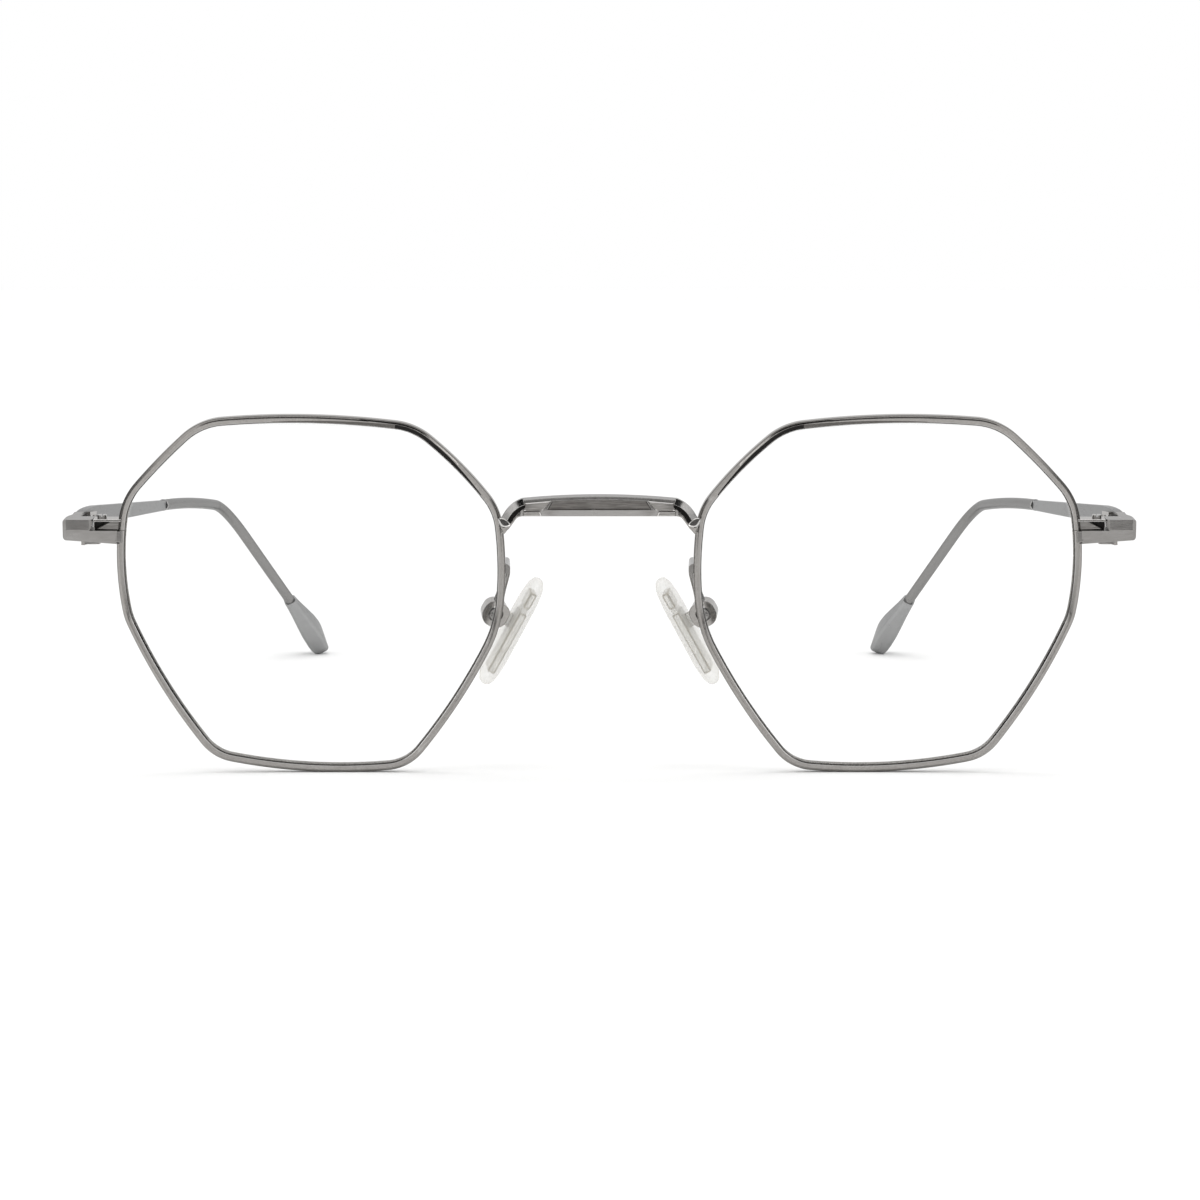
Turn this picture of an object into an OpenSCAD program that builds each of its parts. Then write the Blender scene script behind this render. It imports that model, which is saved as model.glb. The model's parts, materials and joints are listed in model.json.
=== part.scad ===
// Metal eyeglasses with eight-sided eyes, standing open on a level surface
// Millimetres. +X is the wearer's left, +Y runs from the front back to the temple tips, +Z is up.
// The front leans forward and the temples slope down to the back, as the glasses stand.

/* [Eye shape] */
// Distance between the temporal and nasal corner lines of one eye
eye_w = 46.8; // [42:0.1:50]
// Distance between the top and bottom corner lines of one eye
eye_h = 43.9; // [40:0.1:47]
// Distance between the nasal corner lines of the two eyes
eye_gap = 26; // [24:0.1:28]
// Distance from the nasal corner line to the nasal end of the top side
top_nasal = 10.4; // [9.6:0.1:11.4]
// Distance from the temporal corner line to the temporal end of the top side
top_temporal = 9.6; // [8.8:0.1:10.6]
// How much lower the nasal end of the top side is
top_drop = 0.5; // [0:0.1:1]
// Distance from the nasal corner line to the nasal end of the bottom side
bottom_nasal = 11.55; // [10.4:0.05:12.6]
// Distance from the temporal corner line to the temporal end of the bottom side
bottom_temporal = 10.75; // [9.6:0.05:11.8]
// How much higher the temporal end of the bottom side is
bottom_rise = 1.3; // [0:0.1:1.6]
// Length of the short nasal side
nasal_len = 14.9; // [12:0.1:16]
// Height of the middle of the nasal side over the middle of the eye
nasal_up = 3.4; // [2:0.1:4.5]
// Length of the short temporal side
temporal_len = 15.1; // [13:0.1:17]
// Height of the middle of the temporal side over the middle of the eye
temporal_up = 4.7; // [3.5:0.1:6]
// How far the top side bows out
bow_top = 0.83; // [0.4:0.01:1.2]
// How far the upper temporal side bows out
bow_upper_temporal = 0.3; // [0.2:0.01:0.6]
// How far the temporal side bows out
bow_temporal = 0.77; // [0.4:0.01:1]
// How far the lower temporal side bows out
bow_lower_temporal = 0.74; // [0.4:0.01:1]
// How far the bottom side bows out
bow_bottom = 1.06; // [0.6:0.01:1.4]
// How far the lower nasal side bows out
bow_lower_nasal = 0.75; // [0.4:0.01:1]
// How far the nasal side bows out
bow_nasal = 0.59; // [0.4:0.01:0.8]
// How far the upper nasal side bows out
bow_upper_nasal = 0.56; // [0.3:0.01:0.8]
// Corner radius at the two ends of the top side
top_r = 8.1; // [6:0.1:9]
// Corner radius at the two ends of the bottom side
bottom_r = 5.8; // [5:0.1:7]
// Corner radius at the two ends of the temporal side
temporal_r = 8.1; // [6:0.1:9]
// Corner radius at the upper end of the nasal side
upper_nasal_r = 7.4; // [6:0.1:9]
// Corner radius at the lower end of the nasal side
lower_nasal_r = 17.3; // [12:0.1:19]

/* [Rim wire and lens] */
// Width of the rim wire seen from the front
rim_w = 1; // [0.9:0.05:1.2]
// Depth of the rim wire from front to back
rim_depth = 1.8; // [1.7:0.05:2.2]
// Depth of the groove that holds the lens
groove_depth = 0.38; // [0.3:0.01:0.45]
// Half of the groove's width at its mouth
groove_half = 0.5; // [0.4:0.05:0.6]
// Saw gap where the rim opens to take the lens
split_gap = 0.2; // [0.15:0.05:0.3]
// Clearance between the lens edge and the rim
lens_gap = 0.05; // [0.03:0.01:0.08]
// Thickness of the lens
lens_t = 1.6; // [1.2:0.1:2]
// Radius of the lens's curved front
lens_curve = 260; // [200:5:400]

/* [How it stands] */
// Forward lean of the front, in degrees
lean = 5; // [3:0.5:7]
// Downward slope of the temples to the back, in degrees
slope = 2.5; // [1.5:0.5:3.5]
// Inward turn of the temples to the back, in degrees
toe = 4.8; // [3.5:0.1:5.5]

/* [Bridge] */
// Distance from the end of the bridge bar out to the nasal corner line of the eye
bridge_short = 3; // [2.7:0.1:3.5]
// Height of the bridge bar at its middle
bridge_h = 2.6; // [2.4:0.05:2.9]
// How far the bar's top edge drops at its ends
bridge_arch = 0.5; // [0.3:0.05:0.7]
// Height of the bar's top edge over the middle of the eye
bridge_up = 12.8; // [12.5:0.1:13.2]
// Depth of the bridge bar from front to back
bridge_depth = 2.2; // [2:0.1:2.6]
// How far the bar stands in front of the middle of the rims
bridge_front = 1.35; // [1.2:0.05:1.5]
// Half of the length of the recessed panel at its top edge
panel_half = 5.9; // [5:0.1:6.5]
// Outward slant of each end of the panel
panel_slant = 0.6; // [0.3:0.1:0.9]
// Height of the panel
panel_h = 1.2; // [1:0.05:1.4]
// Depth of the panel
panel_depth = 0.4; // [0.3:0.05:0.5]
// Width of the border over the panel
panel_border = 0.48; // [0.4:0.02:0.6]
// How far the lower facet falls back at the bar's bottom edge
facet_back = 0.5; // [0.3:0.05:0.7]
// Width of each bridge arm
arm_w = 1.4; // [1.2:0.05:1.5]
// Radius of the arm's turn from the bar down on to the rim
arm_turn_r = 3.6; // [3.2:0.1:4]
// Angle of that turn, in degrees
arm_turn = 60; // [55:1:64]
// Straight length of the arm after its turn
arm_end = 0.75; // [0.6:0.05:1]
// Where the arm's curve would lie flat, measured inward from the bar's end
arm_short = 1.67; // [1.4:0.01:1.9]
// How far the arm's middle would lie there under the bar's outer corner
arm_down = 0.2; // [0.1:0.05:0.4]
// Angle at which the arm comes out of the bar, in degrees
arm_first = 18; // [14:1:22]
// How far the arm's ridge stands in front of the rim
arm_ridge = 1; // [0.8:0.05:1.1]

/* [Endpiece and closing block] */
// How far the endpiece reaches out from the temporal corner line of the eye
endpiece_reach = 8.05; // [7.8:0.05:8.7]
// Height of the endpiece's outer end
endpiece_h = 2.65; // [2.5:0.05:2.9]
// Height of the endpiece's top over the middle of the eye
endpiece_up = 9.8; // [9.5:0.1:10.2]
// Radius of the endpiece's outer corners seen from the front
corner_r = 0.4; // [0.3:0.05:0.5]
// Distance from the top down to the ridge across the front face
ridge_down = 1.3; // [1.1:0.1:1.5]
// How far the front face falls back below the ridge
face_fall = 0.35; // [0.2:0.05:0.45]
// Width of the bevel on the notch's outer wall
notch_bevel = 0.45; // [0.3:0.05:0.6]
// How much lower the bottom edge is at the rim
endpiece_drop = 0.65; // [0.4:0.05:0.8]
// How far the endpiece stands in front of the middle of the rim
endpiece_front = 1.1; // [1:0.05:1.3]
// How far the endpiece reaches behind the middle of the rim
endpiece_back = 1.75; // [1.6:0.05:2]
// Height of the closing block's upper half
lock_h = 1.4; // [1.3:0.05:1.5]
// Distance from the temporal corner line out to the inner wall of the endpiece's notch
notch_reach = 4.2; // [4:0.1:4.4]
// Height of the thin lip on top of the closing block
lip_h = 0.3; // [0.2:0.05:0.4]
// Distance from the temporal corner line out to the closing screw
closing_reach = 3.2; // [3:0.1:3.3]
// Distance from the middle of the rim back to the closing screw
closing_back = 0.9; // [0.8:0.05:1]
// Radius of the closing screw's shank
closing_r = 0.35; // [0.3:0.01:0.4]
// Radius of the closing screw's head
closing_head_r = 0.6; // [0.5:0.05:0.7]

/* [Hinge] */
// Distance from the temporal corner line out to the hinge axis
hinge_reach = 5.1; // [5:0.1:5.2]
// Distance from the middle of the rims back to the hinge axis
hinge_back = 6; // [5.6:0.1:6.6]
// Height of the middle of the hinge over the middle of the eye
hinge_up = 7.2; // [7:0.1:7.3]
// Radius of the hinge barrel
hinge_r = 1; // [0.95:0.01:1.05]
// Height of the hinge barrel
hinge_h = 3.4; // [3.2:0.1:3.8]
// Height of the middle knuckle, on the temple
knuckle_h = 1.2; // [1:0.1:1.4]
// Clearance between the knuckles and beside the barrel
knuckle_gap = 0.05; // [0.04:0.01:0.08]
// Thickness of the hinge leaves
leaf_t = 0.5; // [0.4:0.05:0.6]
// Length of the front leaf from the axis
front_leaf = 3.6; // [3.2:0.1:4]
// Length of the rear leaf from the axis
rear_leaf = 5.2; // [4.5:0.1:6]
// Radius of the hinge screw's shank
hinge_screw_r = 0.5; // [0.45:0.01:0.55]
// Radial running clearance of the screw in the middle knuckle
screw_clear = 0.04; // [0.03:0.01:0.06]
// Radius of the hinge screw's head
hinge_head_r = 0.85; // [0.75:0.05:0.95]
// Height of the screw heads
head_h = 0.35; // [0.3:0.05:0.45]
// Width of the screw slots
slot_w = 0.22; // [0.15:0.01:0.3]

/* [Temples] */
// Thickness of the temple blade
blade_t = 1.1; // [1:0.05:1.3]
// Height of the blade at the hinge
blade_h = 2.6; // [2.4:0.05:3]
// Height of the blade at its rear end
blade_end_h = 1.4; // [1.3:0.05:1.6]
// Distance from the hinge axis to the rear end of the blade
blade_len = 54.2; // [50:0.1:58]
// Height of the middle of the blade over the middle of the hinge
blade_up = 1.6; // [1.5:0.1:1.8]
// How much higher the blade's middle is at its front end than at its rear end
blade_rise = 0.25; // [0.1:0.05:0.3]
// Length of the round upper front corner of the blade
nose_run = 12; // [9:0.5:14]
// How far the blade's top edge falls over that corner
nose_drop = 1.25; // [1:0.05:1.4]
// How far the blade runs in front of the hinge axis
blade_lead = 1.2; // [1.1:0.05:1.3]
// Gap between the blade's shoulder and the rod
joint_gap = 0.35; // [0.25:0.05:0.5]
// Radius of the rod
rod_r = 0.79; // [0.75:0.01:0.86]
// Length of the rod's slow curve
rod_len = 41; // [38:0.5:44]
// Angle of the rod's slow downward curve, in degrees
rod_droop = 3.4; // [2:0.1:4.5]
// Radius of the bend over the ear
ear_r = 26; // [20:0.5:30]
// Angle of the bend over the ear, in degrees
ear_bend = 35.3; // [32:0.1:38]
// How far the bend rolls inward about the rod, in degrees
ear_roll = 25; // [20:0.5:28]
// Radius of the spigots on both ends of the rod
spigot_r = 0.5; // [0.45:0.01:0.55]
// Length of the spigots
spigot_len = 3.5; // [3:0.1:4]

/* [Temple tips] */
// Length of the tip from its collar
tip_len = 14.2; // [13:0.1:16]
// Radius of the tip's rounded end
tip_r = 2.7; // [2.4:0.1:2.9]
// Thickness of the tip
tip_t = 1.9; // [1.7:0.05:2.1]
// Radius of the collar at the rod
collar_r = 0.92; // [0.88:0.01:1]
// Width of the bevel round the tip's faces
tip_bevel = 0.5; // [0.4:0.05:0.6]

/* [Nose pads] */
// Distance from the nasal corner line of the eye out to a pad box
box_in = 0.5; // [0.2:0.1:0.8]
// Distance from the middle of the rims back to a pad box
box_back = 7.2; // [7:0.1:7.6]
// Height of a pad box over the middle of the eye
box_up = -3.6; // [-3.8:0.1:-3.3]
// Inclination of a pad seen from the front, in degrees
pad_tilt = 29; // [26:0.5:32]
// Splay of a pad to the back, in degrees
pad_splay = 7; // [5:1:11]
// Length of a pad
pad_len = 15.4; // [14.5:0.1:16]
// Width of a pad
pad_w = 7.8; // [7.2:0.1:8.4]
// Thickness of a pad at its middle
pad_t = 1.8; // [1.6:0.1:2.2]
// Radius of the curve of a pad's faces
pad_curve = 60; // [50:1:90]
// Distance from the pad screw to the middle plane of the pad
pad_reach = 3.1; // [3:0.05:3.3]
// How far the middle of the pad lies below its screw
pad_below = 1.2; // [1:0.1:1.6]
// Width of a pad box seen from the front
box_w = 3.3; // [3.1:0.1:3.5]
// Height of a pad box
box_h = 3.3; // [3.1:0.1:3.8]
// Corner radius of a pad box
box_r = 1.4; // [1.2:0.05:1.5]
// Thickness of a pad box's closed top, which carries the arm
cap_t = 0.5; // [0.4:0.05:0.6]
// Width of the boss between the ears of a pad box
boss_t = 1.3; // [1.2:0.05:1.4]
// Side clearance of the boss in the pad box
boss_gap = 0.06; // [0.05:0.01:0.1]
// Thickness of each ear of a pad box
ear_t = 0.5; // [0.45:0.05:0.6]
// Radius of the pad screw's shank
pad_screw_r = 0.4; // [0.35:0.01:0.45]
// Radius of the pad screw's head
pad_head_r = 0.75; // [0.65:0.05:0.85]
// Radius of the pad arm's wire
pad_arm_r = 0.5; // [0.45:0.01:0.55]
// Height of the pad arm's foot over the middle of the eye
pad_arm_up = 3.4; // [3:0.1:3.8]
// Radius of the pad arm's first turn
pad_arm_turn = 1.7; // [1.5:0.1:1.9]
// Radius of the pad arm's second turn
pad_arm_turn2 = 2; // [1.8:0.1:2.2]

/* [Hidden] */

$fn = 48;
// Smoothness of the large arcs
arc_fn = 240;
// Straight steps along each arc of the eye
arc_steps = 8;
// Each stretch of a bent wire starts this far inside the one before, and is thinner by the second value
wire_lap = 0.1;
wire_step = 0.01;
// Length used where a cut passes right through
past = 20;

// Middle of an eye, and its nasal and temporal corner lines, from the middle of the bridge
nasal_edge = eye_gap / 2;
eye_offset = nasal_edge + eye_w / 2;
temporal_edge = nasal_edge + eye_w;
// Pieces placed from the corner lines
bridge_half = nasal_edge - bridge_short;
box_out = nasal_edge + box_in;
endpiece_out = temporal_edge + endpiece_reach;
notch_out = temporal_edge + notch_reach;
closing_out = temporal_edge + closing_reach;
hinge_out = temporal_edge + hinge_reach;

// Corners of the left eye, from the nasal end of the top side round clockwise as seen from the front
eye_corners = [
  [-eye_w / 2 + top_nasal, eye_h / 2 - top_drop],
  [eye_w / 2 - top_temporal, eye_h / 2],
  [eye_w / 2, temporal_up + temporal_len / 2],
  [eye_w / 2, temporal_up - temporal_len / 2],
  [eye_w / 2 - bottom_temporal, -eye_h / 2 + bottom_rise],
  [-eye_w / 2 + bottom_nasal, -eye_h / 2],
  [-eye_w / 2, nasal_up - nasal_len / 2],
  [-eye_w / 2, nasal_up + nasal_len / 2]
];
eye_bows = [
  bow_top, bow_upper_temporal, bow_temporal, bow_lower_temporal,
  bow_bottom, bow_lower_nasal, bow_nasal, bow_upper_nasal
];
eye_radii = [top_r, top_r, temporal_r, temporal_r, bottom_r, bottom_r, lower_nasal_r, upper_nasal_r];
sides = len(eye_corners);

function after(i) = (i + 1) % sides;
function before(i) = (i + sides - 1) % sides;
function unit(v) = v / norm(v);
function angle_of(v) = atan2(v[1], v[0]);
// Turn from one angle down to another, between 0 and 360 degrees
function turn_down(from, to) = (from - to) - 360 * floor((from - to) / 360);
function on_circle(c, r, a) = c + r * [cos(a), sin(a)];

// Radius and centre of the arc that bows side i out between its two corners
function chord(i) = eye_corners[after(i)] - eye_corners[i];
function side_r(i) = (pow(norm(chord(i)) / 2, 2) + pow(eye_bows[i], 2)) / (2 * eye_bows[i]);
function side_c(i) =
  let (out = [-chord(i)[1], chord(i)[0]] / norm(chord(i)))
  (eye_corners[i] + eye_corners[after(i)]) / 2 - out * (side_r(i) - eye_bows[i]);

// The meeting point of two circles that lies nearer to a given point
function circles_meet(c1, r1, c2, r2, near) =
  let (
    d = norm(c2 - c1),
    a = (r1 * r1 - r2 * r2 + d * d) / (2 * d),
    h = sqrt(max(r1 * r1 - a * a, 0)),
    along = unit(c2 - c1),
    across = [-along[1], along[0]],
    p = c1 + along * a + across * h,
    q = c1 + along * a - across * h
  )
  norm(p - near) < norm(q - near) ? p : q;

// Centre of the arc that rounds corner i, inside both neighbouring sides
function corner_c(i) = circles_meet(
  side_c(before(i)), side_r(before(i)) - eye_radii[i],
  side_c(i), side_r(i) - eye_radii[i],
  eye_corners[i]);
// Direction in which corner i's arc meets side j's arc
function join_angle(i, j) = angle_of(corner_c(i) - side_c(j));

// Every arc of the eye as [centre, radius, first angle, sweep], swept anticlockwise
eye_arcs = [
  for (i = [0 : sides - 1]) each [
    [corner_c(i), eye_radii[i], join_angle(i, i), turn_down(join_angle(i, before(i)), join_angle(i, i))],
    [side_c(i), side_r(i), join_angle(after(i), i), turn_down(join_angle(i, i), join_angle(after(i), i))]
  ]
];

// Size of the bevels along the rim wire, as a share of its width
rim_soft_share = 0.18;
rim_soft = rim_w * rim_soft_share;
// The bottom side's lowest point rests on the surface
bottom_side = 4;
eye_up = side_r(bottom_side) - side_c(bottom_side)[1] + rim_w / 2;

// The rim opens on its temporal side, level with the lower face of the closing block
split_side = 2;
split_arc = eye_arcs[2 * split_side + 1];
function split_angle(h) = asin((h - split_arc[0][1]) / split_arc[1]);
split_low = split_angle(endpiece_up - lock_h - split_gap / 2);
split_high = split_angle(endpiece_up - lock_h + split_gap / 2);
rim_arcs = [
  [split_arc[0], split_arc[1], split_arc[2], split_low - split_arc[2]],
  for (n = [2 : 2 * sides]) eye_arcs[(2 * split_side + n) % (2 * sides)],
  [split_arc[0], split_arc[1], split_high, split_arc[2] + split_arc[3] - split_high]
];
// Places along the rim from one side of the opening to the other, as [centre, radius, angle]
stations = [
  for (arc = rim_arcs, n = [0 : arc_steps - 1]) [arc[0], arc[1], arc[2] + arc[3] * (1 - n / arc_steps)],
  [split_arc[0], split_arc[1], split_high]
];
function place(at, out) = on_circle(at[0], at[1] + out, at[2]);
function eye_outline(out) = [for (at = stations) place(at, out)];

function rot_x(v, a) = [v[0], v[1] * cos(a) - v[2] * sin(a), v[1] * sin(a) + v[2] * cos(a)];
function rot_y(v, a) = [v[0] * cos(a) + v[2] * sin(a), v[1], v[2] * cos(a) - v[0] * sin(a)];
function rot_z(v, a) = [v[0] * cos(a) - v[1] * sin(a), v[0] * sin(a) + v[1] * cos(a), v[2]];

// Hinge axis seen from the foot of the leaning front, which rests on the rims' bevelled front edge
front_lift = (rim_depth / 2 - 2 * rim_soft) * sin(lean);
hinge_at = rot_x([hinge_out, hinge_back, eye_up + hinge_up], lean) + [0, 0, front_lift];

// The temple's own places: x outward from the hinge axis, y to the back, z up
blade_in = hinge_r + knuckle_gap;
blade_mid = blade_in + blade_t / 2;
rod_curve_r = rod_len / (rod_droop * PI / 180);
droop_end = [
  blade_mid, blade_len + rod_curve_r * sin(rod_droop), blade_up - rod_curve_r * (1 - cos(rod_droop))
];
// Direction turned through the temple's bends, back into the standing frame
function leg_dir(v) = rot_x(rot_y(rot_x(v, -ear_bend), ear_roll), -rod_droop);
function stand_dir(v) = rot_x(rot_z(v, toe), -slope);
ear_turn = [0, ear_r * sin(ear_bend), -ear_r * (1 - cos(ear_bend))];
ear_end = droop_end + rot_x(rot_y(ear_turn, ear_roll), -rod_droop);
leg_along = stand_dir(leg_dir([0, 1, 0]));
leg_across = stand_dir(leg_dir([1, 0, 0]));
// The round end of the tip just touches the surface, and that sets the length of the rod's straight leg
flat_r = tip_r - tip_bevel;
tip_rest = max(
  tip_r * sqrt(1 - pow(leg_across[2], 2)) + (tip_t / 2 - tip_bevel) * abs(leg_across[2]),
  flat_r * sqrt(1 - pow(leg_across[2], 2)) + tip_t / 2 * abs(leg_across[2]));
ear_end_z = hinge_at[2] + stand_dir(ear_end)[2];
leg_len = (ear_end_z - tip_rest) / -leg_along[2] - (tip_len - tip_r);
tip_centre = hinge_at + stand_dir(ear_end) + leg_along * (leg_len + tip_len - tip_r);

// The origin is on the surface, midway between the front of the rims and the ends of the tips
rim_reach = rot_x([0, -rim_depth / 2, eye_up + eye_h / 2 + bow_top + rim_w / 2], lean)[1];
front_y = -(rim_reach + tip_centre[1] + tip_r * sqrt(1 - pow(leg_across[1], 2))) / 2;

// Heights over the surface, in the plane of the front
endpiece_top = eye_up + endpiece_up;
endpiece_low = endpiece_top - endpiece_h;
block_top = endpiece_top - lock_h;
bridge_top = eye_up + bridge_up;
bridge_low = bridge_top - bridge_h;
facet_top = bridge_top - panel_border - panel_h;
arch_r = (pow(bridge_half, 2) + pow(bridge_arch, 2)) / (2 * bridge_arch);
// The leg of the endpiece beside the hinge
leg_in = hinge_out + hinge_r;
leg_out = hinge_out + blade_in + blade_t;
nose_edge = nasal_edge - bow_nasal - rim_w / 2;

steel = [0.57, 0.55, 0.53];
pale_steel = [0.68, 0.69, 0.7];
clear = [0.9, 0.93, 0.95, 0.25];
milky = [0.93, 0.93, 0.9, 0.6];

// Placing

module front() {
  translate([0, front_y, front_lift]) rotate([lean, 0, 0]) children();
}

module hinge() {
  translate(hinge_at + [0, front_y, 0]) rotate([-slope, 0, 0]) children();
}

module temple() {
  hinge() rotate([0, 0, toe]) children();
}

module mirrored() {
  mirror([1, 0, 0]) children();
}

// Stands a drawing of the front's plane upright, so that its y runs up
module upright() {
  rotate([90, 0, 0]) children();
}

module eye() {
  front() translate([eye_offset, 0, eye_up]) upright() children();
}

// Drawn from its lower left corner in plan, between two heights
module prism(points, low, high) {
  translate([0, 0, low]) linear_extrude(high - low) polygon(points);
}

// Drawn as seen from the front, between two depths
module plate(points, near, far) {
  translate([0, far, 0]) upright() linear_extrude(far - near) polygon(points);
}

module rounded(w, h, r) {
  square([w - 2 * r, h], center = true);
  square([w, h - 2 * r], center = true);
  for (x = [-1, 1], y = [-1, 1]) translate([x * (w / 2 - r), y * (h / 2 - r)]) circle(r);
}

// A round wire along +y from the origin that bends down, with its start drawn back by the lap
module wire_bend(turn_r, angle, wire_r, lap = wire_lap) {
  lead = lap / turn_r * 180 / PI;
  translate([0, 0, -turn_r]) rotate([0, -90, 0]) rotate([0, 0, -lead])
    rotate_extrude(angle = angle + lead, $fn = arc_fn) translate([turn_r, 0]) circle(wire_r);
}

// Places what follows such a bend
module bent(turn_r, angle) {
  translate([0, turn_r * sin(angle), -turn_r * (1 - cos(angle))]) rotate([-angle, 0, 0]) children();
}

module along_y(r, from, to) {
  translate([0, from, 0]) rotate([-90, 0, 0]) cylinder(h = to - from, r = r);
}

// Height of the floor of a screw's slot as a share of its head's height
slot_floor = 0.45;

// A slotted screw with its head's underside at the origin and its shank down
module screw(shank_r, shank_len, head_r) {
  translate([0, 0, -shank_len]) cylinder(h = shank_len, r = shank_r);
  difference() {
    cylinder(h = head_h, r = head_r);
    translate([-slot_w / 2, -head_r - 1, head_h * slot_floor]) cube([slot_w, 2 * head_r + 2, head_h]);
  }
}

// Rims and lenses

// The wire's section as [outward, forward], from the bottom of its groove
rim_section = [
  [-rim_w / 2 + groove_depth, 0], [-rim_w / 2, -groove_half],
  [-rim_w / 2, -rim_depth / 2 + rim_soft], [-rim_w / 2 + rim_soft, -rim_depth / 2],
  [rim_w / 2 - rim_soft, -rim_depth / 2], [rim_w / 2, -rim_depth / 2 + rim_soft],
  [rim_w / 2, rim_depth / 2 - 2 * rim_soft], [rim_soft, rim_depth / 2],
  [-rim_w / 2 + rim_soft, rim_depth / 2 - rim_soft / 2], [-rim_w / 2, rim_depth / 2 - 2 * rim_soft],
  [-rim_w / 2, groove_half]
];

// Carries a section round the eye, closed or open at the saw gap
module carry_round(section, closed) {
  count = len(section);
  last = len(stations) - 1;
  polyhedron(
    [for (at = stations, k = [0 : count - 1]) [each place(at, section[k][0]), section[k][1]]],
    [
      for (s = [0 : closed ? last : last - 1], k = [0 : count - 1])
        let (
          a = s * count + k,
          b = s * count + (k + 1) % count,
          c = (s + 1) % (last + 1) * count + (k + 1) % count,
          d = (s + 1) % (last + 1) * count + k
        )
        each [[a, b, c], [a, c, d]],
      // The ends, each fanned from the section's first point
      if (!closed) each [
        [0, for (k = [1 : count - 1]) count - k],
        [for (k = [0 : count - 1]) last * count + k]
      ]
    ]
  );
}

module rim() {
  eye() carry_round(rim_section, false);
}

// The space inside the rim's outer edge, which soldered pieces are cut to fit
module rim_space(depth = past) {
  eye() linear_extrude(depth, center = true) polygon(eye_outline(rim_w / 2));
}

// How far inside a lens's edge its bevel starts
bevel_root = 0.15;

module lens() {
  edge = -rim_w / 2 - lens_gap;
  edge_sag = pow(eye_w / 2, 2) / (2 * lens_curve);
  // The bevel follows the groove's walls and starts a little inside the edge
  bevel_half = (groove_depth + bevel_root) * groove_half / groove_depth;
  eye() {
    intersection() {
      linear_extrude(past, center = true) polygon(eye_outline(edge));
      difference() {
        translate([0, 0, edge_sag + lens_t / 2 - lens_curve]) sphere(lens_curve, $fn = arc_fn);
        translate([0, 0, edge_sag - lens_t / 2 - lens_curve]) sphere(lens_curve, $fn = arc_fn);
      }
    }
    root = edge - bevel_root;
    carry_round([[edge + groove_depth, 0], [root, -bevel_half], [root, bevel_half]], true);
  }
}

module rim_left() color(steel) rim();
module rim_right() color(steel) mirrored() rim();
module lens_left() color(clear) lens();
module lens_right() color(clear) mirrored() lens();

// Bridge

module bridge_bar() {
  back = bridge_depth - bridge_front;
  difference() {
    intersection() {
      // Its section, along the bar
      translate([-bridge_half, 0, 0]) rotate([90, 0, 90]) linear_extrude(2 * bridge_half) polygon([
        [back, bridge_low], [back, bridge_top], [-bridge_front, bridge_top],
        [-bridge_front, facet_top], [-bridge_front + facet_back, bridge_low]
      ]);
      // Its arched outline, seen from the front
      translate([0, past / 2, 0]) upright() linear_extrude(past) intersection() {
        translate([-bridge_half, bridge_low]) square([2 * bridge_half, bridge_h]);
        translate([0, bridge_top - arch_r]) circle(arch_r, $fn = 4 * arc_fn);
      }
    }
    // The recessed panel
    translate([0, panel_depth - bridge_front, 0]) upright() linear_extrude(panel_depth + 1) intersection() {
      polygon([
        [-panel_half - panel_slant, facet_top], [panel_half + panel_slant, facet_top],
        [panel_half, facet_top + panel_h], [-panel_half, facet_top + panel_h]
      ]);
      translate([0, bridge_top - panel_border - arch_r]) circle(arch_r, $fn = 4 * arc_fn);
    }
  }
}

// Height of an arm's shoulders as a share of its ridge, and place of the ridge as a share of the arm's width
arm_shoulder = 0.35;
arm_lean = 0.07;

// One arm, which turns down from the bar's end on to the rim
module bridge_arm() {
  near = rim_depth / 2;
  start = [bridge_half - arm_short, bridge_top - bridge_arch - arm_down];
  shoulder = near + arm_ridge * arm_shoulder;
  section = [
    [-arm_w / 2, near], [arm_w / 2, near], [arm_w / 2, shoulder],
    [arm_w * arm_lean, near + arm_ridge], [-arm_w / 2, shoulder]
  ];
  translate([start[0], 0, start[1] - arm_turn_r]) upright() {
    rotate([0, 0, 90 - arm_turn]) rotate_extrude(angle = arm_turn - arm_first, $fn = arc_fn)
      translate([arm_turn_r, 0]) polygon(section);
    rotate([0, 0, 90 - arm_turn]) translate([arm_turn_r, 0, 0]) rotate([90, 0, 0])
      linear_extrude(arm_end) polygon(section);
  }
}

// Corners of a lug, each as [outward, up] from the end of the bar's lower edge
lug_corners = [[-0.6, 0.1], [0.35, -0.15], [0.95, -0.95], [1.4, -1.6], [2, -2.1], [2.6, -2.4], [2.6, 0.5]];
// Its upper corners, from the end of the bar's upper edge
lug_top_corners = [[1, -1.2], [-0.6, -0.8]];
// How far a lug's back stays in front of the rim's back
lug_back = 0.3;

// The lug behind the arm, soldered to the rim's side
module bridge_lug() {
  plate([
    for (corner = lug_corners) [bridge_half, bridge_low] + corner,
    for (corner = lug_top_corners) [bridge_half, bridge_top - bridge_arch] + corner
  ], -rim_depth / 2, rim_depth / 2 - lug_back);
}

module bridge() color(steel) {
  front() bridge_bar();
  for (side = [0, 1]) mirror([side, 0, 0]) {
    front() bridge_arm();
    difference() {
      front() bridge_lug();
      rim_space();
    }
  }
}

// Endpieces and closing blocks

// Steps of the round outer corners, in degrees
corner_step = 30;
// How much wider the notch is at its floor
notch_flare = 0.2;
// The bevel on the outer front edge, across and back
edge_cut = [0.5, 0.6];
// The outer side leans in by the first value down to this far before the back, and folds back to the leg
side_lean = 0.05;
side_end = 0.6;
fold_back = 1.4;
// How far the leg's sides go past the hinge axis
leg_past = 1;
// Metal left below the closing screw
closing_floor = 0.5;
// Metal taken beyond an edge by a cut
over = 1;

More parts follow.
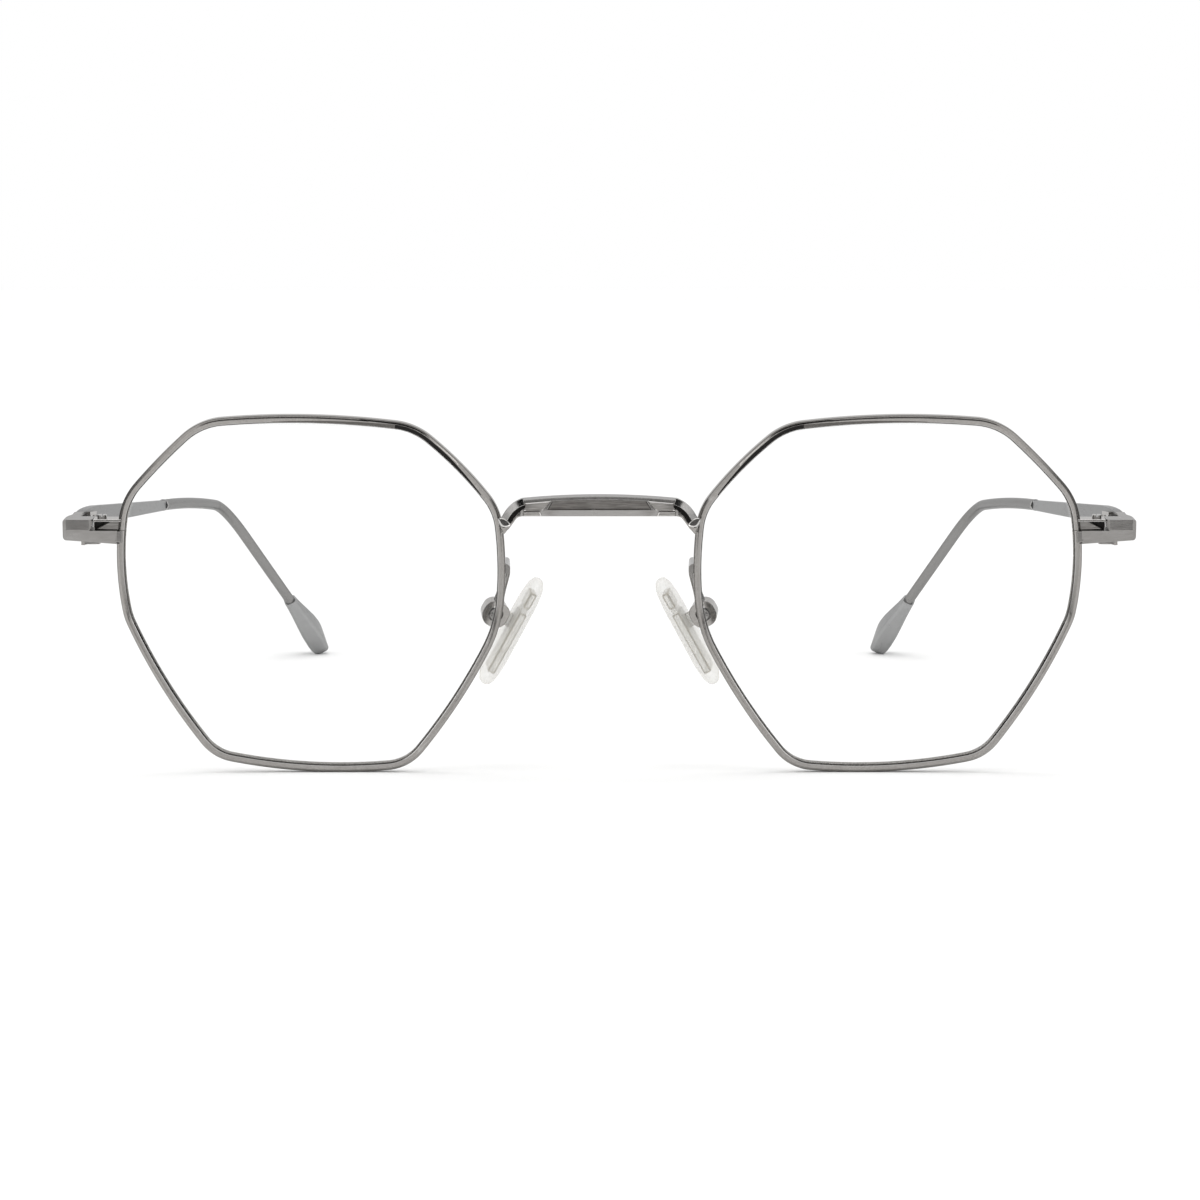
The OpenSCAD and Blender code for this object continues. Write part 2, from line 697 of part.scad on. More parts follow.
module endpiece() {
  ledge_in = temporal_edge - rim_w;
  round_out = endpiece_out - corner_r;
  leg_back = hinge_back + leg_past;
  difference() {
    front() intersection() {
      // Seen from the front: the outer block and the bar that carries the closing block
      plate([
        [ledge_in, endpiece_low - endpiece_drop],
        for (a = [-90 : corner_step : 0]) on_circle([round_out, endpiece_low + corner_r], corner_r, a),
        for (a = [0 : corner_step : 90]) on_circle([round_out, endpiece_top - corner_r], corner_r, a),
        [notch_out, endpiece_top], [notch_out + notch_flare, block_top], [ledge_in, block_top]
      ], -past / 2, past);
      // Seen from above: the outer corner folds back into the leg beside the hinge
      prism([
        [ledge_in, -endpiece_front], [endpiece_out - edge_cut[0], -endpiece_front],
        [endpiece_out, -endpiece_front + edge_cut[1]], [endpiece_out - side_lean, endpiece_back - side_end],
        [leg_out, endpiece_back + fold_back], [leg_out, leg_back], [leg_in, leg_back],
        [leg_in, endpiece_back], [ledge_in, endpiece_back]
      ], endpiece_low - endpiece_drop - over, endpiece_top + over);
      // Seen from the side: the lower half of the front face falls back under a ridge
      translate([ledge_in - over, 0, 0]) rotate([90, 0, 90]) linear_extrude(past) polygon([
        [-endpiece_front, endpiece_top + over], [-endpiece_front, endpiece_top - ridge_down],
        [face_fall - endpiece_front, endpiece_low - endpiece_drop - over],
        [past, endpiece_low - endpiece_drop - over], [past, endpiece_top + over]
      ]);
    }
    // The bevel on the outer wall of the notch
    front() prism([
      [notch_out - over, -endpiece_front - over], [notch_out + notch_bevel + over, -endpiece_front - over],
      [notch_out - over, -endpiece_front + notch_bevel + over]
    ], block_top, endpiece_top + over);
    rim_space();
    // The leg ends just short of the temple blade
    hinge() translate([0, past / 2 - blade_lead - knuckle_gap, 0]) cube([past, past, past], center = true);
    front() translate([closing_out, closing_back, endpiece_low - endpiece_drop + closing_floor])
      cylinder(h = past, r = closing_r);
  }
}

// Places of the closing block's front face, from the middle of the rims: at the rim, at its bend and outside
block_face = [-0.8, -0.6, 0.1];
// Distance of that bend from the inner end
block_bend = 2;
// Places of the face's lower and upper edge where it leans back under the lip
block_lean = [-0.7, 0.3];

module rim_lock() {
  inner = temporal_edge - rim_w;
  outer = notch_out - knuckle_gap;
  difference() {
    front() {
      // Its front face leans back under the lip, and falls away to its outer end
      intersection() {
        prism([
          [inner, block_face[0]], [inner + block_bend, block_face[1]], [outer, block_face[2]],
          [outer, endpiece_back], [inner, endpiece_back]
        ], block_top, endpiece_top - lip_h);
        translate([inner - over, 0, 0]) rotate([90, 0, 90]) linear_extrude(past) polygon([
          [block_lean[0], block_top - over], [block_lean[0], block_top],
          [block_lean[1], endpiece_top - lip_h + wire_step], [past, endpiece_top], [past, block_top - over]
        ]);
      }
      prism([
        [inner, -rim_depth / 2], [outer, -rim_depth / 2], [outer, endpiece_back], [inner, endpiece_back]
      ], endpiece_top - lip_h, endpiece_top);
    }
    rim_space();
    front() translate([closing_out, closing_back, block_top - over])
      cylinder(h = lock_h + 2 * over, r = closing_r);
  }
}

module closing_screw() {
  front() translate([closing_out, closing_back, endpiece_top])
    screw(closing_r, endpiece_top - (endpiece_low - endpiece_drop + closing_floor), closing_head_r);
}

module endpiece_left() color(steel) endpiece();
module endpiece_right() color(steel) mirrored() endpiece();
module rim_lock_left() color(steel) rim_lock();
module rim_lock_right() color(steel) mirrored() rim_lock();
module closing_screw_left() color(pale_steel) closing_screw();
module closing_screw_right() color(pale_steel) mirrored() closing_screw();

// Hinges

module hinge_front() {
  outer_h = (hinge_h - knuckle_h) / 2 - knuckle_gap;
  hinge() difference() {
    union() {
      for (side = [-1, 1]) translate([0, 0, side * (hinge_h - outer_h) / 2]) {
        cylinder(h = outer_h, r = hinge_r, center = true);
        translate([hinge_r - leaf_t, -front_leaf, -outer_h / 2]) cube([leaf_t, front_leaf, outer_h]);
      }
      translate([hinge_r - leaf_t, -front_leaf, -hinge_h / 2])
        cube([leaf_t, front_leaf - hinge_r - 2 * knuckle_gap, hinge_h]);
    }
    cylinder(h = past, r = hinge_screw_r, center = true);
  }
}

// Where the upright part of the rear leaf starts behind the barrel, and how far up the blade it goes
leaf_start = 0.2;
leaf_up = 0.3;

module hinge_rear() {
  temple() difference() {
    union() {
      cylinder(h = knuckle_h, r = hinge_r, center = true);
      translate([blade_in - leaf_t, 0, -knuckle_h / 2]) cube([leaf_t, rear_leaf, knuckle_h]);
      translate([blade_in - leaf_t, hinge_r + leaf_start, -knuckle_h / 2])
        cube([leaf_t, rear_leaf - hinge_r - leaf_start, blade_up + blade_h * leaf_up + knuckle_h / 2]);
    }
    cylinder(h = past, r = hinge_screw_r + screw_clear, center = true);
  }
}

module hinge_screw() {
  hinge() translate([0, 0, hinge_h / 2]) screw(hinge_screw_r, hinge_h, hinge_head_r);
}

module hinge_front_left() color(steel) hinge_front();
module hinge_front_right() color(steel) mirrored() hinge_front();
module hinge_rear_left() color(steel) hinge_rear();
module hinge_rear_right() color(steel) mirrored() hinge_rear();
module hinge_screw_left() color(pale_steel) hinge_screw();
module hinge_screw_right() color(pale_steel) mirrored() hinge_screw();

// Temples

// Straight steps along the blade's round corner
nose_steps = 8;
// How far behind the blade's front end the round corner is at an angle on it
function nose_x(a) = nose_run * (1 - cos(a));

module temple_blade() {
  front_top = blade_rise + blade_h / 2;
  fall = (front_top - blade_end_h / 2) / (blade_len + blade_lead);
  temple() {
    // Its side view, with a long round upper front corner
    translate([blade_in, 0, blade_up]) rotate([90, 0, 90]) linear_extrude(blade_t) polygon([
      [-blade_lead, blade_rise - blade_h / 2], [blade_len, -blade_end_h / 2], [blade_len, blade_end_h / 2],
      for (a = [90 : -90 / nose_steps : 0]) [
        nose_x(a) - blade_lead,
        front_top - fall * nose_x(a) - nose_drop * (1 - sin(a))
      ]
    ]);
    translate([blade_mid, 0, blade_up])
      along_y(spigot_r, blade_len - over, blade_len + joint_gap + spigot_len);
  }
}

// Places what follows the rod's slow curve
module after_droop() {
  temple() translate([blade_mid, blade_len, blade_up])
    bent(rod_curve_r, rod_droop) rotate([0, ear_roll, 0]) children();
}

module temple_rod() {
  difference() {
    temple() translate([blade_mid, blade_len, blade_up]) wire_bend(rod_curve_r, rod_droop, rod_r);
    temple() translate([blade_mid, 0, blade_up])
      along_y(2 * rod_r, blade_len - past + joint_gap, blade_len + joint_gap);
    temple() translate([blade_mid, 0, blade_up])
      along_y(spigot_r, blade_len - over, blade_len + joint_gap + spigot_len);
  }
  after_droop() {
    wire_bend(ear_r, ear_bend, rod_r - wire_step);
    bent(ear_r, ear_bend) {
      along_y(rod_r - 2 * wire_step, -wire_lap, leg_len);
      along_y(spigot_r, leg_len - 1, leg_len + spigot_len);
    }
  }
}

// Sides of a full circle at the tip's end
tip_sides = 32;

module tip_outline(inset) {
  centre = tip_len - tip_r;
  lean_in = asin((tip_r - collar_r) / centre);
  end_r = tip_r - inset;
  start_r = collar_r - inset / 2;
  translate([centre, 0]) circle(end_r, $fn = tip_sides);
  polygon([
    [0, -start_r], [centre - end_r * sin(lean_in), -end_r * cos(lean_in)], [centre, 0],
    [centre - end_r * sin(lean_in), end_r * cos(lean_in)], [0, start_r]
  ]);
}

module temple_tip() {
  after_droop() bent(ear_r, ear_bend) translate([0, leg_len, 0]) difference() {
    rotate([90, 0, 90]) {
      hull() {
        linear_extrude(tip_t - 2 * tip_bevel, center = true) tip_outline(0);
        linear_extrude(tip_t, center = true) tip_outline(tip_bevel);
      }
    }
    along_y(spigot_r, -1, spigot_len);
  }
}

module temple_blade_left() color(pale_steel) temple_blade();
module temple_blade_right() color(pale_steel) mirrored() temple_blade();
module temple_rod_left() color(steel) temple_rod();
module temple_rod_right() color(steel) mirrored() temple_rod();
module temple_tip_left() color(pale_steel) temple_tip();
module temple_tip_right() color(pale_steel) mirrored() temple_tip();

// Nose pads

// The pad's own places: the origin is on its screw, x to its rear edge, y towards the nose, z up along it
module pad_place() {
  front() translate(box_at)
    rotate([0, -pad_tilt, 0]) rotate([0, 0, 90 - pad_splay]) children();
}

box_t = boss_t + 2 * boss_gap + 2 * ear_t;
// Where the arm's wire meets the box, in the pad's own places and in the plane of the front
arm_meets = [0, box_r - box_w / 2, box_h / 2 - cap_t / 2];
box_at = [box_out, box_back, eye_up + box_up];
arm_meets_front = rot_y(rot_z(arm_meets, 90 - pad_splay), -pad_tilt) + box_at;
arm_foot = [nose_edge, eye_up + pad_arm_up];
arm_drop = arm_foot[1] - pad_arm_turn - arm_meets_front[2];
arm_slide = arm_meets_front[0] - arm_foot[0];
// The second turn and the straight run after it together end at the box
arm_angle = 2 * atan2(
  arm_drop - sqrt(pow(arm_drop, 2) - arm_slide * (2 * pad_arm_turn2 - arm_slide)),
  2 * pad_arm_turn2 - arm_slide);
arm_run = (arm_drop - pad_arm_turn2 * sin(arm_angle)) / cos(arm_angle);

module pad_arm_wire(run_past) {
  back = arm_meets_front[1] - pad_arm_turn;
  front() translate([arm_foot[0], 0, arm_foot[1]]) {
    along_y(pad_arm_r, -rim_depth / 4, back);
    translate([0, back, 0]) {
      wire_bend(pad_arm_turn, 90, pad_arm_r - wire_step);
      bent(pad_arm_turn, 90) rotate([0, -90, 0]) {
        wire_bend(pad_arm_turn2, arm_angle, pad_arm_r - 2 * wire_step);
        bent(pad_arm_turn2, arm_angle) along_y(pad_arm_r - 3 * wire_step, -wire_lap, arm_run + run_past);
      }
    }
  }
}

module pad_arm() {
  difference() {
    pad_arm_wire(0);
    rim_space(rim_depth);
  }
}

module pad_box() {
  web_t = box_w / 2 - boss_back - boss_gap;
  difference() {
    pad_place() difference() {
      translate([-box_t / 2, 0, 0]) rotate([90, 0, 90]) linear_extrude(box_t) rounded(box_w, box_h, box_r);
      // The slot between the ears, open towards the pad and below
      translate([-boss_t / 2 - boss_gap, -box_w / 2 + web_t, -box_h])
        cube([boss_t + 2 * boss_gap, box_w, 3 * box_h / 2 - cap_t]);
      translate([-box_t, 0, 0]) rotate([0, 90, 0]) cylinder(h = 2 * box_t, r = pad_screw_r);
    }
    pad_arm_wire(0);
  }
}

module pad_screw() {
  pad_place() translate([-box_t / 2, 0, 0]) rotate([0, -90, 0]) screw(pad_screw_r, box_t, pad_head_r);
}

// The hard plate, and the wall of its boss round the screw
core_t = 0.7;
core_w = 4;
core_l = 8;
core_soft = 0.1;
boss_wall = 0.45;
boss_back = pad_screw_r + boss_wall;
// Straight steps round each end of a pad's outline
end_steps = 16;

// The hard plate inside the pad with the boss that the screw passes through
module pad_core_body() {
  translate([0, pad_reach, -pad_below]) rotate([90, 0, 0])
    linear_extrude(core_t, center = true) rounded(core_w, core_l, core_w / 2 - core_soft);
  translate([-boss_t / 2, 0, -boss_back]) cube([boss_t, pad_reach, 2 * boss_back]);
  rotate([0, 90, 0]) cylinder(h = boss_t, r = boss_back, center = true);
}

module pad_core() {
  pad_place() difference() {
    pad_core_body();
    rotate([0, 90, 0]) cylinder(h = past, r = pad_screw_r + screw_clear, center = true);
  }
}

// Radius of a pad's upper end as a share of its width
pad_high_share = 0.42;

module nose_pad() {
  low_r = pad_w / 2;
  high_r = pad_w * pad_high_share;
  low_z = -pad_len / 2 + low_r;
  high_z = pad_len / 2 - high_r;
  lean_in = asin((low_r - high_r) / (high_z - low_z));
  pad_place() difference() {
    translate([0, pad_reach, -pad_below]) intersection() {
      rotate([90, 0, 0]) linear_extrude(past, center = true) polygon([
        for (n = [0 : end_steps])
          on_circle([0, low_z], low_r, 180 - lean_in + (180 + 2 * lean_in) * n / end_steps),
        for (n = [0 : end_steps])
          on_circle([0, high_z], high_r, lean_in + (180 - 2 * lean_in) * n / end_steps)
      ]);
      // Thinner towards its edge, with two shallow curved faces
      rotate([90, 0, 0]) rotate_extrude($fn = arc_fn) intersection() {
        translate([0, -pad_t]) square([pad_len, 2 * pad_t]);
        translate([0, pad_t / 2 - pad_curve]) circle(pad_curve, $fn = 4 * arc_fn);
        translate([0, pad_curve - pad_t / 2]) circle(pad_curve, $fn = 4 * arc_fn);
      }
    }
    pad_core_body();
  }
}

module pad_arm_left() color(steel) pad_arm();
module pad_arm_right() color(steel) mirrored() pad_arm();
module pad_box_left() color(pale_steel) pad_box();
module pad_box_right() color(pale_steel) mirrored() pad_box();
module pad_screw_left() color(steel) pad_screw();
module pad_screw_right() color(steel) mirrored() pad_screw();
module pad_core_left() color(clear) pad_core();
module pad_core_right() color(clear) mirrored() pad_core();
module nose_pad_left() color(milky) nose_pad();
module nose_pad_right() color(milky) mirrored() nose_pad();

rim_left();
rim_right();
lens_left();
lens_right();
bridge();
endpiece_left();
endpiece_right();
rim_lock_left();
rim_lock_right();
closing_screw_left();
closing_screw_right();
hinge_front_left();
hinge_front_right();
hinge_rear_left();
hinge_rear_right();
hinge_screw_left();
hinge_screw_right();
temple_blade_left();
temple_blade_right();
temple_rod_left();
temple_rod_right();
temple_tip_left();
temple_tip_right();
pad_arm_left();
pad_arm_right();
pad_box_left();
pad_box_right();
pad_screw_left();
pad_screw_right();
pad_core_left();
pad_core_right();
nose_pad_left();
nose_pad_right();
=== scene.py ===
import json
import math
import bpy
import bmesh
from mathutils import Matrix, Vector

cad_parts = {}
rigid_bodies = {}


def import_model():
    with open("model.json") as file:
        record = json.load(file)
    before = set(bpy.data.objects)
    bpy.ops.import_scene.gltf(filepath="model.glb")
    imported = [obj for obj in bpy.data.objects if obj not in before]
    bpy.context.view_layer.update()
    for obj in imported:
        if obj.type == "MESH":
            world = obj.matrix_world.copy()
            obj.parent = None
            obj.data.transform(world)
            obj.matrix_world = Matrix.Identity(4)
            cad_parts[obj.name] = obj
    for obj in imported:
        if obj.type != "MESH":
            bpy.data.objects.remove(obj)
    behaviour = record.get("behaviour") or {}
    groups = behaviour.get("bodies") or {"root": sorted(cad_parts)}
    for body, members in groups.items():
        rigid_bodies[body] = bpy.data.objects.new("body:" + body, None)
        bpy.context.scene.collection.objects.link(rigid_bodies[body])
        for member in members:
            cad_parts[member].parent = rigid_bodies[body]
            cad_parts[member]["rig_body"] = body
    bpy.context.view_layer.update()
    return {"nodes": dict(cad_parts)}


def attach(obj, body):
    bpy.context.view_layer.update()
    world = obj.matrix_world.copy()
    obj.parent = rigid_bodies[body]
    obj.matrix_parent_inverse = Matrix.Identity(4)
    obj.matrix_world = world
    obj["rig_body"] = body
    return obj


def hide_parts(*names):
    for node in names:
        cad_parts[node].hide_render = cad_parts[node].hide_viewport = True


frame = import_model()

# camera, surface and light, in metres

view = {
    "distance": 0.5,           # from the camera to the rims' lower front edge
    "rimFrontY": -0.06727,     # where that edge is
    "height": 0.07157,
    "pitch": 5.647,            # degrees down
    "focal": 118.5, "sensor": 36.0,
    "slide": 0.0005,           # sideways shift of the picture
    "nearest": 0.01, "farthest": 20.0,
}

lights = {
    "worldColour": (1.0, 1.0, 1.0, 1.0), "worldStrength": 1.05,
    # what the camera, the metal and the glass see of the world
    "seenColour": (1.0, 1.0, 1.0, 1.0), "seenStrength": 1.0,
    "floorColour": (0.96, 0.96, 0.957, 1.0), "floorSize": (6.0, 6.0), "floorGloss": 0.1, "matte": 0.9,
    # lamps: place, size, power in watts, aim
    "softboxes": {
        "overhead": ((0.0, 0.05, 0.7), (0.6, 0.12), 0.45, (0.0, 0.0, 0.0)),
        "left": ((-0.5, -0.42, 0.3), (0.05, 0.4), 0.2, (0.0, -0.06, 0.03)),
        "right": ((0.5, -0.42, 0.3), (0.05, 0.4), 0.2, (0.0, -0.06, 0.03)),
    },
    # cards that only the metal sees, for its dark bands: place, size, aim and grey
    "cards": {
        "cardLeft": ((-0.42, -0.02, 0.13), (0.34, 0.26), (0.0, -0.06, 0.02), 0.2),
        "cardRight": ((0.42, -0.02, 0.13), (0.34, 0.26), (0.0, -0.06, 0.02), 0.2),
        "cardAbove": ((0.0, -0.26, 0.40), (0.6, 0.20), (0.0, -0.06, 0.02), 0.012),
        "cardLow": ((0.0, -0.25, 0.002), (0.7, 0.14), (0.0, -0.25, -1.0), 0.012),
    },
}


def addObject(name, data):
    thing = bpy.data.objects.new(name, data)
    bpy.context.collection.objects.link(thing)
    return thing


def aimAt(place, target):
    return (Vector(target) - Vector(place)).to_track_quat("-Z", "Y").to_euler()


def makeCamera():
    lens = bpy.data.cameras.new("photoView")
    lens.sensor_width = view["sensor"]
    lens.sensor_fit = "HORIZONTAL"
    lens.lens = view["focal"]
    lens.shift_x = view["slide"]
    lens.clip_start = view["nearest"]
    lens.clip_end = view["farthest"]
    camera = addObject("photoView", lens)
    camera.location = (0.0, view["rimFrontY"] - view["distance"], view["height"])
    camera.rotation_euler = (math.radians(90.0 - view["pitch"]), 0.0, 0.0)
    bpy.context.scene.camera = camera


class Wire:
    # one output socket that plain arithmetic can be written on
    def __init__(self, look, socket):
        self.look = look
        self.socket = socket

    def maths(self, operation, first, second, clamp=False):
        settings = {"operation": operation, "use_clamp": clamp}
        return self.look.add("ShaderNodeMath", settings, {0: first, 1: second})

    def __add__(self, other):
        return self.maths("ADD", self, other)

    def __radd__(self, other):
        return self.maths("ADD", other, self)

    def __sub__(self, other):
        return self.maths("SUBTRACT", self, other)

    def __rsub__(self, other):
        return self.maths("SUBTRACT", other, self)

    def __mul__(self, other):
        return self.maths("MULTIPLY", self, other)

    def __rmul__(self, other):
        return self.maths("MULTIPLY", other, self)

    def __pow__(self, other):
        return self.maths("POWER", self, other)

    def __rpow__(self, other):
        return self.maths("POWER", other, self)

    def clamped(self):
        return self.maths("ADD", self, 0.0, clamp=True)


class Look:
    # a material or a world being built, with one method for every kind of node
    def __init__(self, owner):
        self.owner = owner
        owner.use_nodes = True
        self.tree = owner.node_tree
        self.tree.nodes.clear()

    def add(self, kind, settings=None, sockets=None, out=0):
        node = self.tree.nodes.new(kind)
        for key, value in (settings or {}).items():
            setattr(node, key, value)
        for key, value in (sockets or {}).items():
            if isinstance(value, Wire):
                self.tree.links.new(value.socket, node.inputs[key])
            else:
                node.inputs[key].default_value = value
        return Wire(self, node.outputs[out])

    def noise(self, measures, stretch=None):
        # measures are scale, detail and roughness
        place = self.add("ShaderNodeTexCoord", out="Object")
        if stretch:
            place = self.add("ShaderNodeMapping", None, {"Vector": place, "Scale": stretch})
        scale, detail, rough = measures
        return self.add("ShaderNodeTexNoise", None,
                        {"Vector": place, "Scale": scale, "Detail": detail, "Roughness": rough})

    def facing(self, blend):
        return self.add("ShaderNodeLayerWeight", None, {"Blend": blend}, out="Facing")

    def edges(self, start, gain):
        # 0 on flat places and 1 on sharp outer edges
        pointed = self.add("ShaderNodeNewGeometry", out="Pointiness")
        return ((pointed - start) * gain).clamped()

    def mixed(self, factor, first, second):
        return self.add("ShaderNodeMix", {"data_type": "RGBA"}, {"Factor": factor, 6: first, 7: second}, out=2)

    def bump(self, height, strength, depth):
        return self.add("ShaderNodeBump", None, {"Strength": strength, "Distance": depth, "Height": height})

    def finish(self, shader, kind="ShaderNodeOutputMaterial"):
        output = self.tree.nodes.new(kind)
        self.tree.links.new(shader.socket, output.inputs["Surface"])
        return self.owner

    def surface(self, sockets):
        return self.finish(self.add("ShaderNodeBsdfPrincipled", None, sockets))


def newLook(name):
    return Look(bpy.data.materials.new(name))


def grey(value, warm=0.0):
    return (value * (1 + warm), value, value * (1 - warm), 1.0)


def matteLook(name, colour, gloss=0.0):
    look = newLook(name)
    return look.surface({"Base Color": colour, "Roughness": lights["matte"], "Specular IOR Level": gloss})


def makeWorld():
    look = Look(bpy.data.worlds.new("studioWorld"))
    bpy.context.scene.world = look.owner
    camera = look.add("ShaderNodeLightPath", out="Is Camera Ray")
    glossy = look.add("ShaderNodeLightPath", out="Is Glossy Ray")
    through = look.add("ShaderNodeLightPath", out="Is Transmission Ray")
    seen = camera.maths("MAXIMUM", camera.maths("MAXIMUM", camera, glossy), through)
    lit = look.add("ShaderNodeBackground", None,
                   {"Color": lights["worldColour"], "Strength": lights["worldStrength"]})
    plain = look.add("ShaderNodeBackground", None,
                     {"Color": lights["seenColour"], "Strength": lights["seenStrength"]})
    mix = look.add("ShaderNodeMixShader", None, {0: seen, 1: lit, 2: plain})
    look.finish(mix, "ShaderNodeOutputWorld")


def flatPanel(name, size, material):
    wide, deep = size[0] / 2, size[1] / 2
    mesh = bpy.data.meshes.new(name)
    corners = [(-wide, -deep, 0), (wide, -deep, 0), (wide, deep, 0), (-wide, deep, 0)]
    mesh.from_pydata(corners, [], [(0, 1, 2, 3)])
    mesh.materials.append(material)
    panel = addObject(name, mesh)
    return panel


def makeStudio():
    flatPanel("studioFloor", lights["floorSize"],
              matteLook("studioFloor", lights["floorColour"], lights["floorGloss"]))
    for name, (place, size, target, shade) in lights["cards"].items():
        card = flatPanel(name, size, matteLook(name, grey(shade)))
        card.location = place
        card.rotation_euler = aimAt(place, target)
        card.visible_camera = False
        card.visible_diffuse = False
        card.visible_shadow = False
    for name, (place, size, power, target) in lights["softboxes"].items():
        lamp = bpy.data.lights.new(name, "AREA")
        lamp.shape = "RECTANGLE"
        lamp.size, lamp.size_y = size
        lamp.energy = power
        box = addObject(name, lamp)
        box.location = place
        box.rotation_euler = aimAt(place, target)


makeCamera()
makeWorld()
makeStudio()
bpy.context.scene.view_settings.view_transform = "Standard"
print("camera, surface and lights are in place")

# finishes

middle = 0.5     # the mean of every noise

metals = {
    # grey, warmth, edge-on tint, roughness, contrast, edge wear with a painted highlight, and the grain's scale
    # along each axis
    "gunmetal": (0.32, 0.04, 0.85, 0.16, 0.16, 0.4, (5200, 5200, 5200)),
    "bladeMetal": (0.33, 0.0, 0.62, 0.30, 0.16, 0.1, (9000, 420, 9000)),
    "rodMetal": (0.24, 0.02, 0.58, 0.30, 0.06, 0.0, (4200, 500, 4200)),
    "wireMetal": (0.24, 0.03, 0.8, 0.18, 0.18, 0.0, (4200, 4200, 4200)),
    "satinMetal": (0.27, 0.03, 0.80, 0.24, 0.12, 0.35, (900, 6000, 6000)),
    "brushedMetal": (0.265, 0.04, 0.60, 0.32, 0.36, 0.2, (420, 6000, 7600)),
    "panelMetal": (0.20, 0.05, 0.50, 0.40, 0.42, 0.0, (420, 6000, 7600)),
    # pale steel for the screws, and a painted highlight on the rim's glint strips, the bridge arms' outer faces
    # and the rods' rings
    "steelAndPaintedGlint": (0.42, 0.02, 0.8, 0.14, 0.14, 0.2, (6000, 6000, 6000)),
    # painted shade, nearly black: the rim's dark band and inner line, the bridge arms' inner sides, the closing
    # block's dark corner, the temples' necks and the rods' mouths
    "paintedShadeMetal": (0.02, 0.03, 0.2, 0.30, 0.2, 0.0, (6000, 6000, 6000)),
    # a painted highlight on rounded edges: the raised blocks, the closing block's lip, the bridge arms' end
    # rings and the flat in the pad cups
    "paintedHighlightMetal": (0.66, 0.02, 1.0, 0.20, 0.1, 0.0, (6000, 6000, 6000)),
    # dark lines of painted reflection and shade: along the rim, round the closing block's face, inside the pad
    # cups and on the screw threads
    "paintedShadeLineMetal": (0.11, 0.05, 0.5, 0.26, 0.2, 0.0, (6000, 6000, 6000)),
}

metalFinish = {
    # noises: scale, detail and roughness; the grain's scale is the metal's own
    "clouds": (420.0, 3.0, 0.55), "grain": (1.0, 4.0, 0.6), "pits": (2600.0, 2.0, 0.5),
    # pointiness at which wear and a painted highlight begin on the edges and how fast they grow, and that
    # metal's grey and most of it
    "wearGlintFrom": 0.56, "wearGlintGain": 9.0, "wornGlintGrey": 1.7, "wornGlintMost": 0.9,
    # warmth of the dark places and of the worn, highlit edges, as shares of the metal's own
    "darkWarm": 1.3, "wornGlintWarm": 0.6,
    # how much grain and clouds change the tone and the roughness, and how grain and pits share the bump
    "tone": (2.4, 0.8), "rough": (0.16, 0.10), "bumpShares": (0.7, 0.3),
    "bump": 0.14, "bumpDepth": 0.00002,
}


def metalLook(name, base, warm, tint, rough, contrast, wearAndGlint, stretch):
    m = metalFinish
    look = newLook(name)
    clouds, grain, pits = look.noise(m["clouds"]), look.noise(m["grain"], stretch), look.noise(m["pits"])
    wornAndGlint = look.edges(m["wearGlintFrom"], m["wearGlintGain"]) * wearAndGlint
    dark = grey(base * (1 - contrast), warm * m["darkWarm"])
    pale = grey(base * (1 + contrast), warm)
    bareAndGlint = grey(min(base * m["wornGlintGrey"], m["wornGlintMost"]), warm * m["wornGlintWarm"])
    byGrain, byClouds = m["tone"]
    tone = ((grain - middle) * byGrain + (clouds - middle) * byClouds + middle).clamped()
    colour = look.mixed(wornAndGlint, look.mixed(tone, dark, pale), bareAndGlint)
    byGrain, byClouds = m["rough"]
    roughness = ((grain - middle) * byGrain + (clouds - middle) * byClouds + rough).clamped()
    byGrain, byPits = m["bumpShares"]
    bump = look.bump(grain * byGrain + pits * byPits, m["bump"], m["bumpDepth"])
    return look.surface({"Base Color": colour, "Metallic": 1.0, "Roughness": roughness, "Normal": bump,
                         "Specular Tint": grey(tint)})


glass = {
    "colour": (0.93, 0.96, 0.96, 1.0), "ior": 1.5,
    # alpha seen square on, what an edge-on view adds and how late, and what dust changes
    "alpha": 0.018, "edgeAlpha": 0.45, "edgePower": 4.0, "blend": 0.5, "dustAlpha": 0.015,
    "rough": 0.01, "smearRough": 0.05,
    "dust": (260.0, 5.0, 0.5), "smear": (60.0, 2.0, 0.5),
}


def lensLook():
    g = glass
    look = newLook("lensGlass")
    dust, smear = look.noise(g["dust"]), look.noise(g["smear"])
    facing = look.facing(g["blend"]) ** g["edgePower"]
    alpha = (facing * g["edgeAlpha"] + g["alpha"] + (dust - middle) * g["dustAlpha"]).clamped()
    roughness = (smear * g["smearRough"] + g["rough"]).clamped()
    return look.surface({"Base Color": g["colour"], "Roughness": roughness, "IOR": g["ior"], "Alpha": alpha})


pads = {
    # colour, colour edge-on, and alpha seen square on
    "padSilicone": ((0.88, 0.87, 0.84, 1.0), (0.50, 0.47, 0.40, 1.0), 0.30),
    "padCore": ((0.90, 0.89, 0.85, 1.0), (0.22, 0.19, 0.13, 1.0), 0.5),
    "padLine": ((0.22, 0.19, 0.13, 1.0), (0.22, 0.19, 0.13, 1.0), 0.9),
}

padFinish = {
    "clouds": (380.0, 3.0, 0.5), "blend": 0.35, "facingPower": 2.0,
    "edgeFrom": 0.57, "edgeGain": 10.0,
    # how much an edge-on view, the clouds and the edges change the colour and the alpha
    "tone": (0.8, 0.2, 0.8), "alpha": (0.6, 0.1, 0.2),
    "rough": 0.12, "cloudRough": 0.15, "ior": 1.41, "bump": 0.08, "bumpDepth": 0.00003,
}


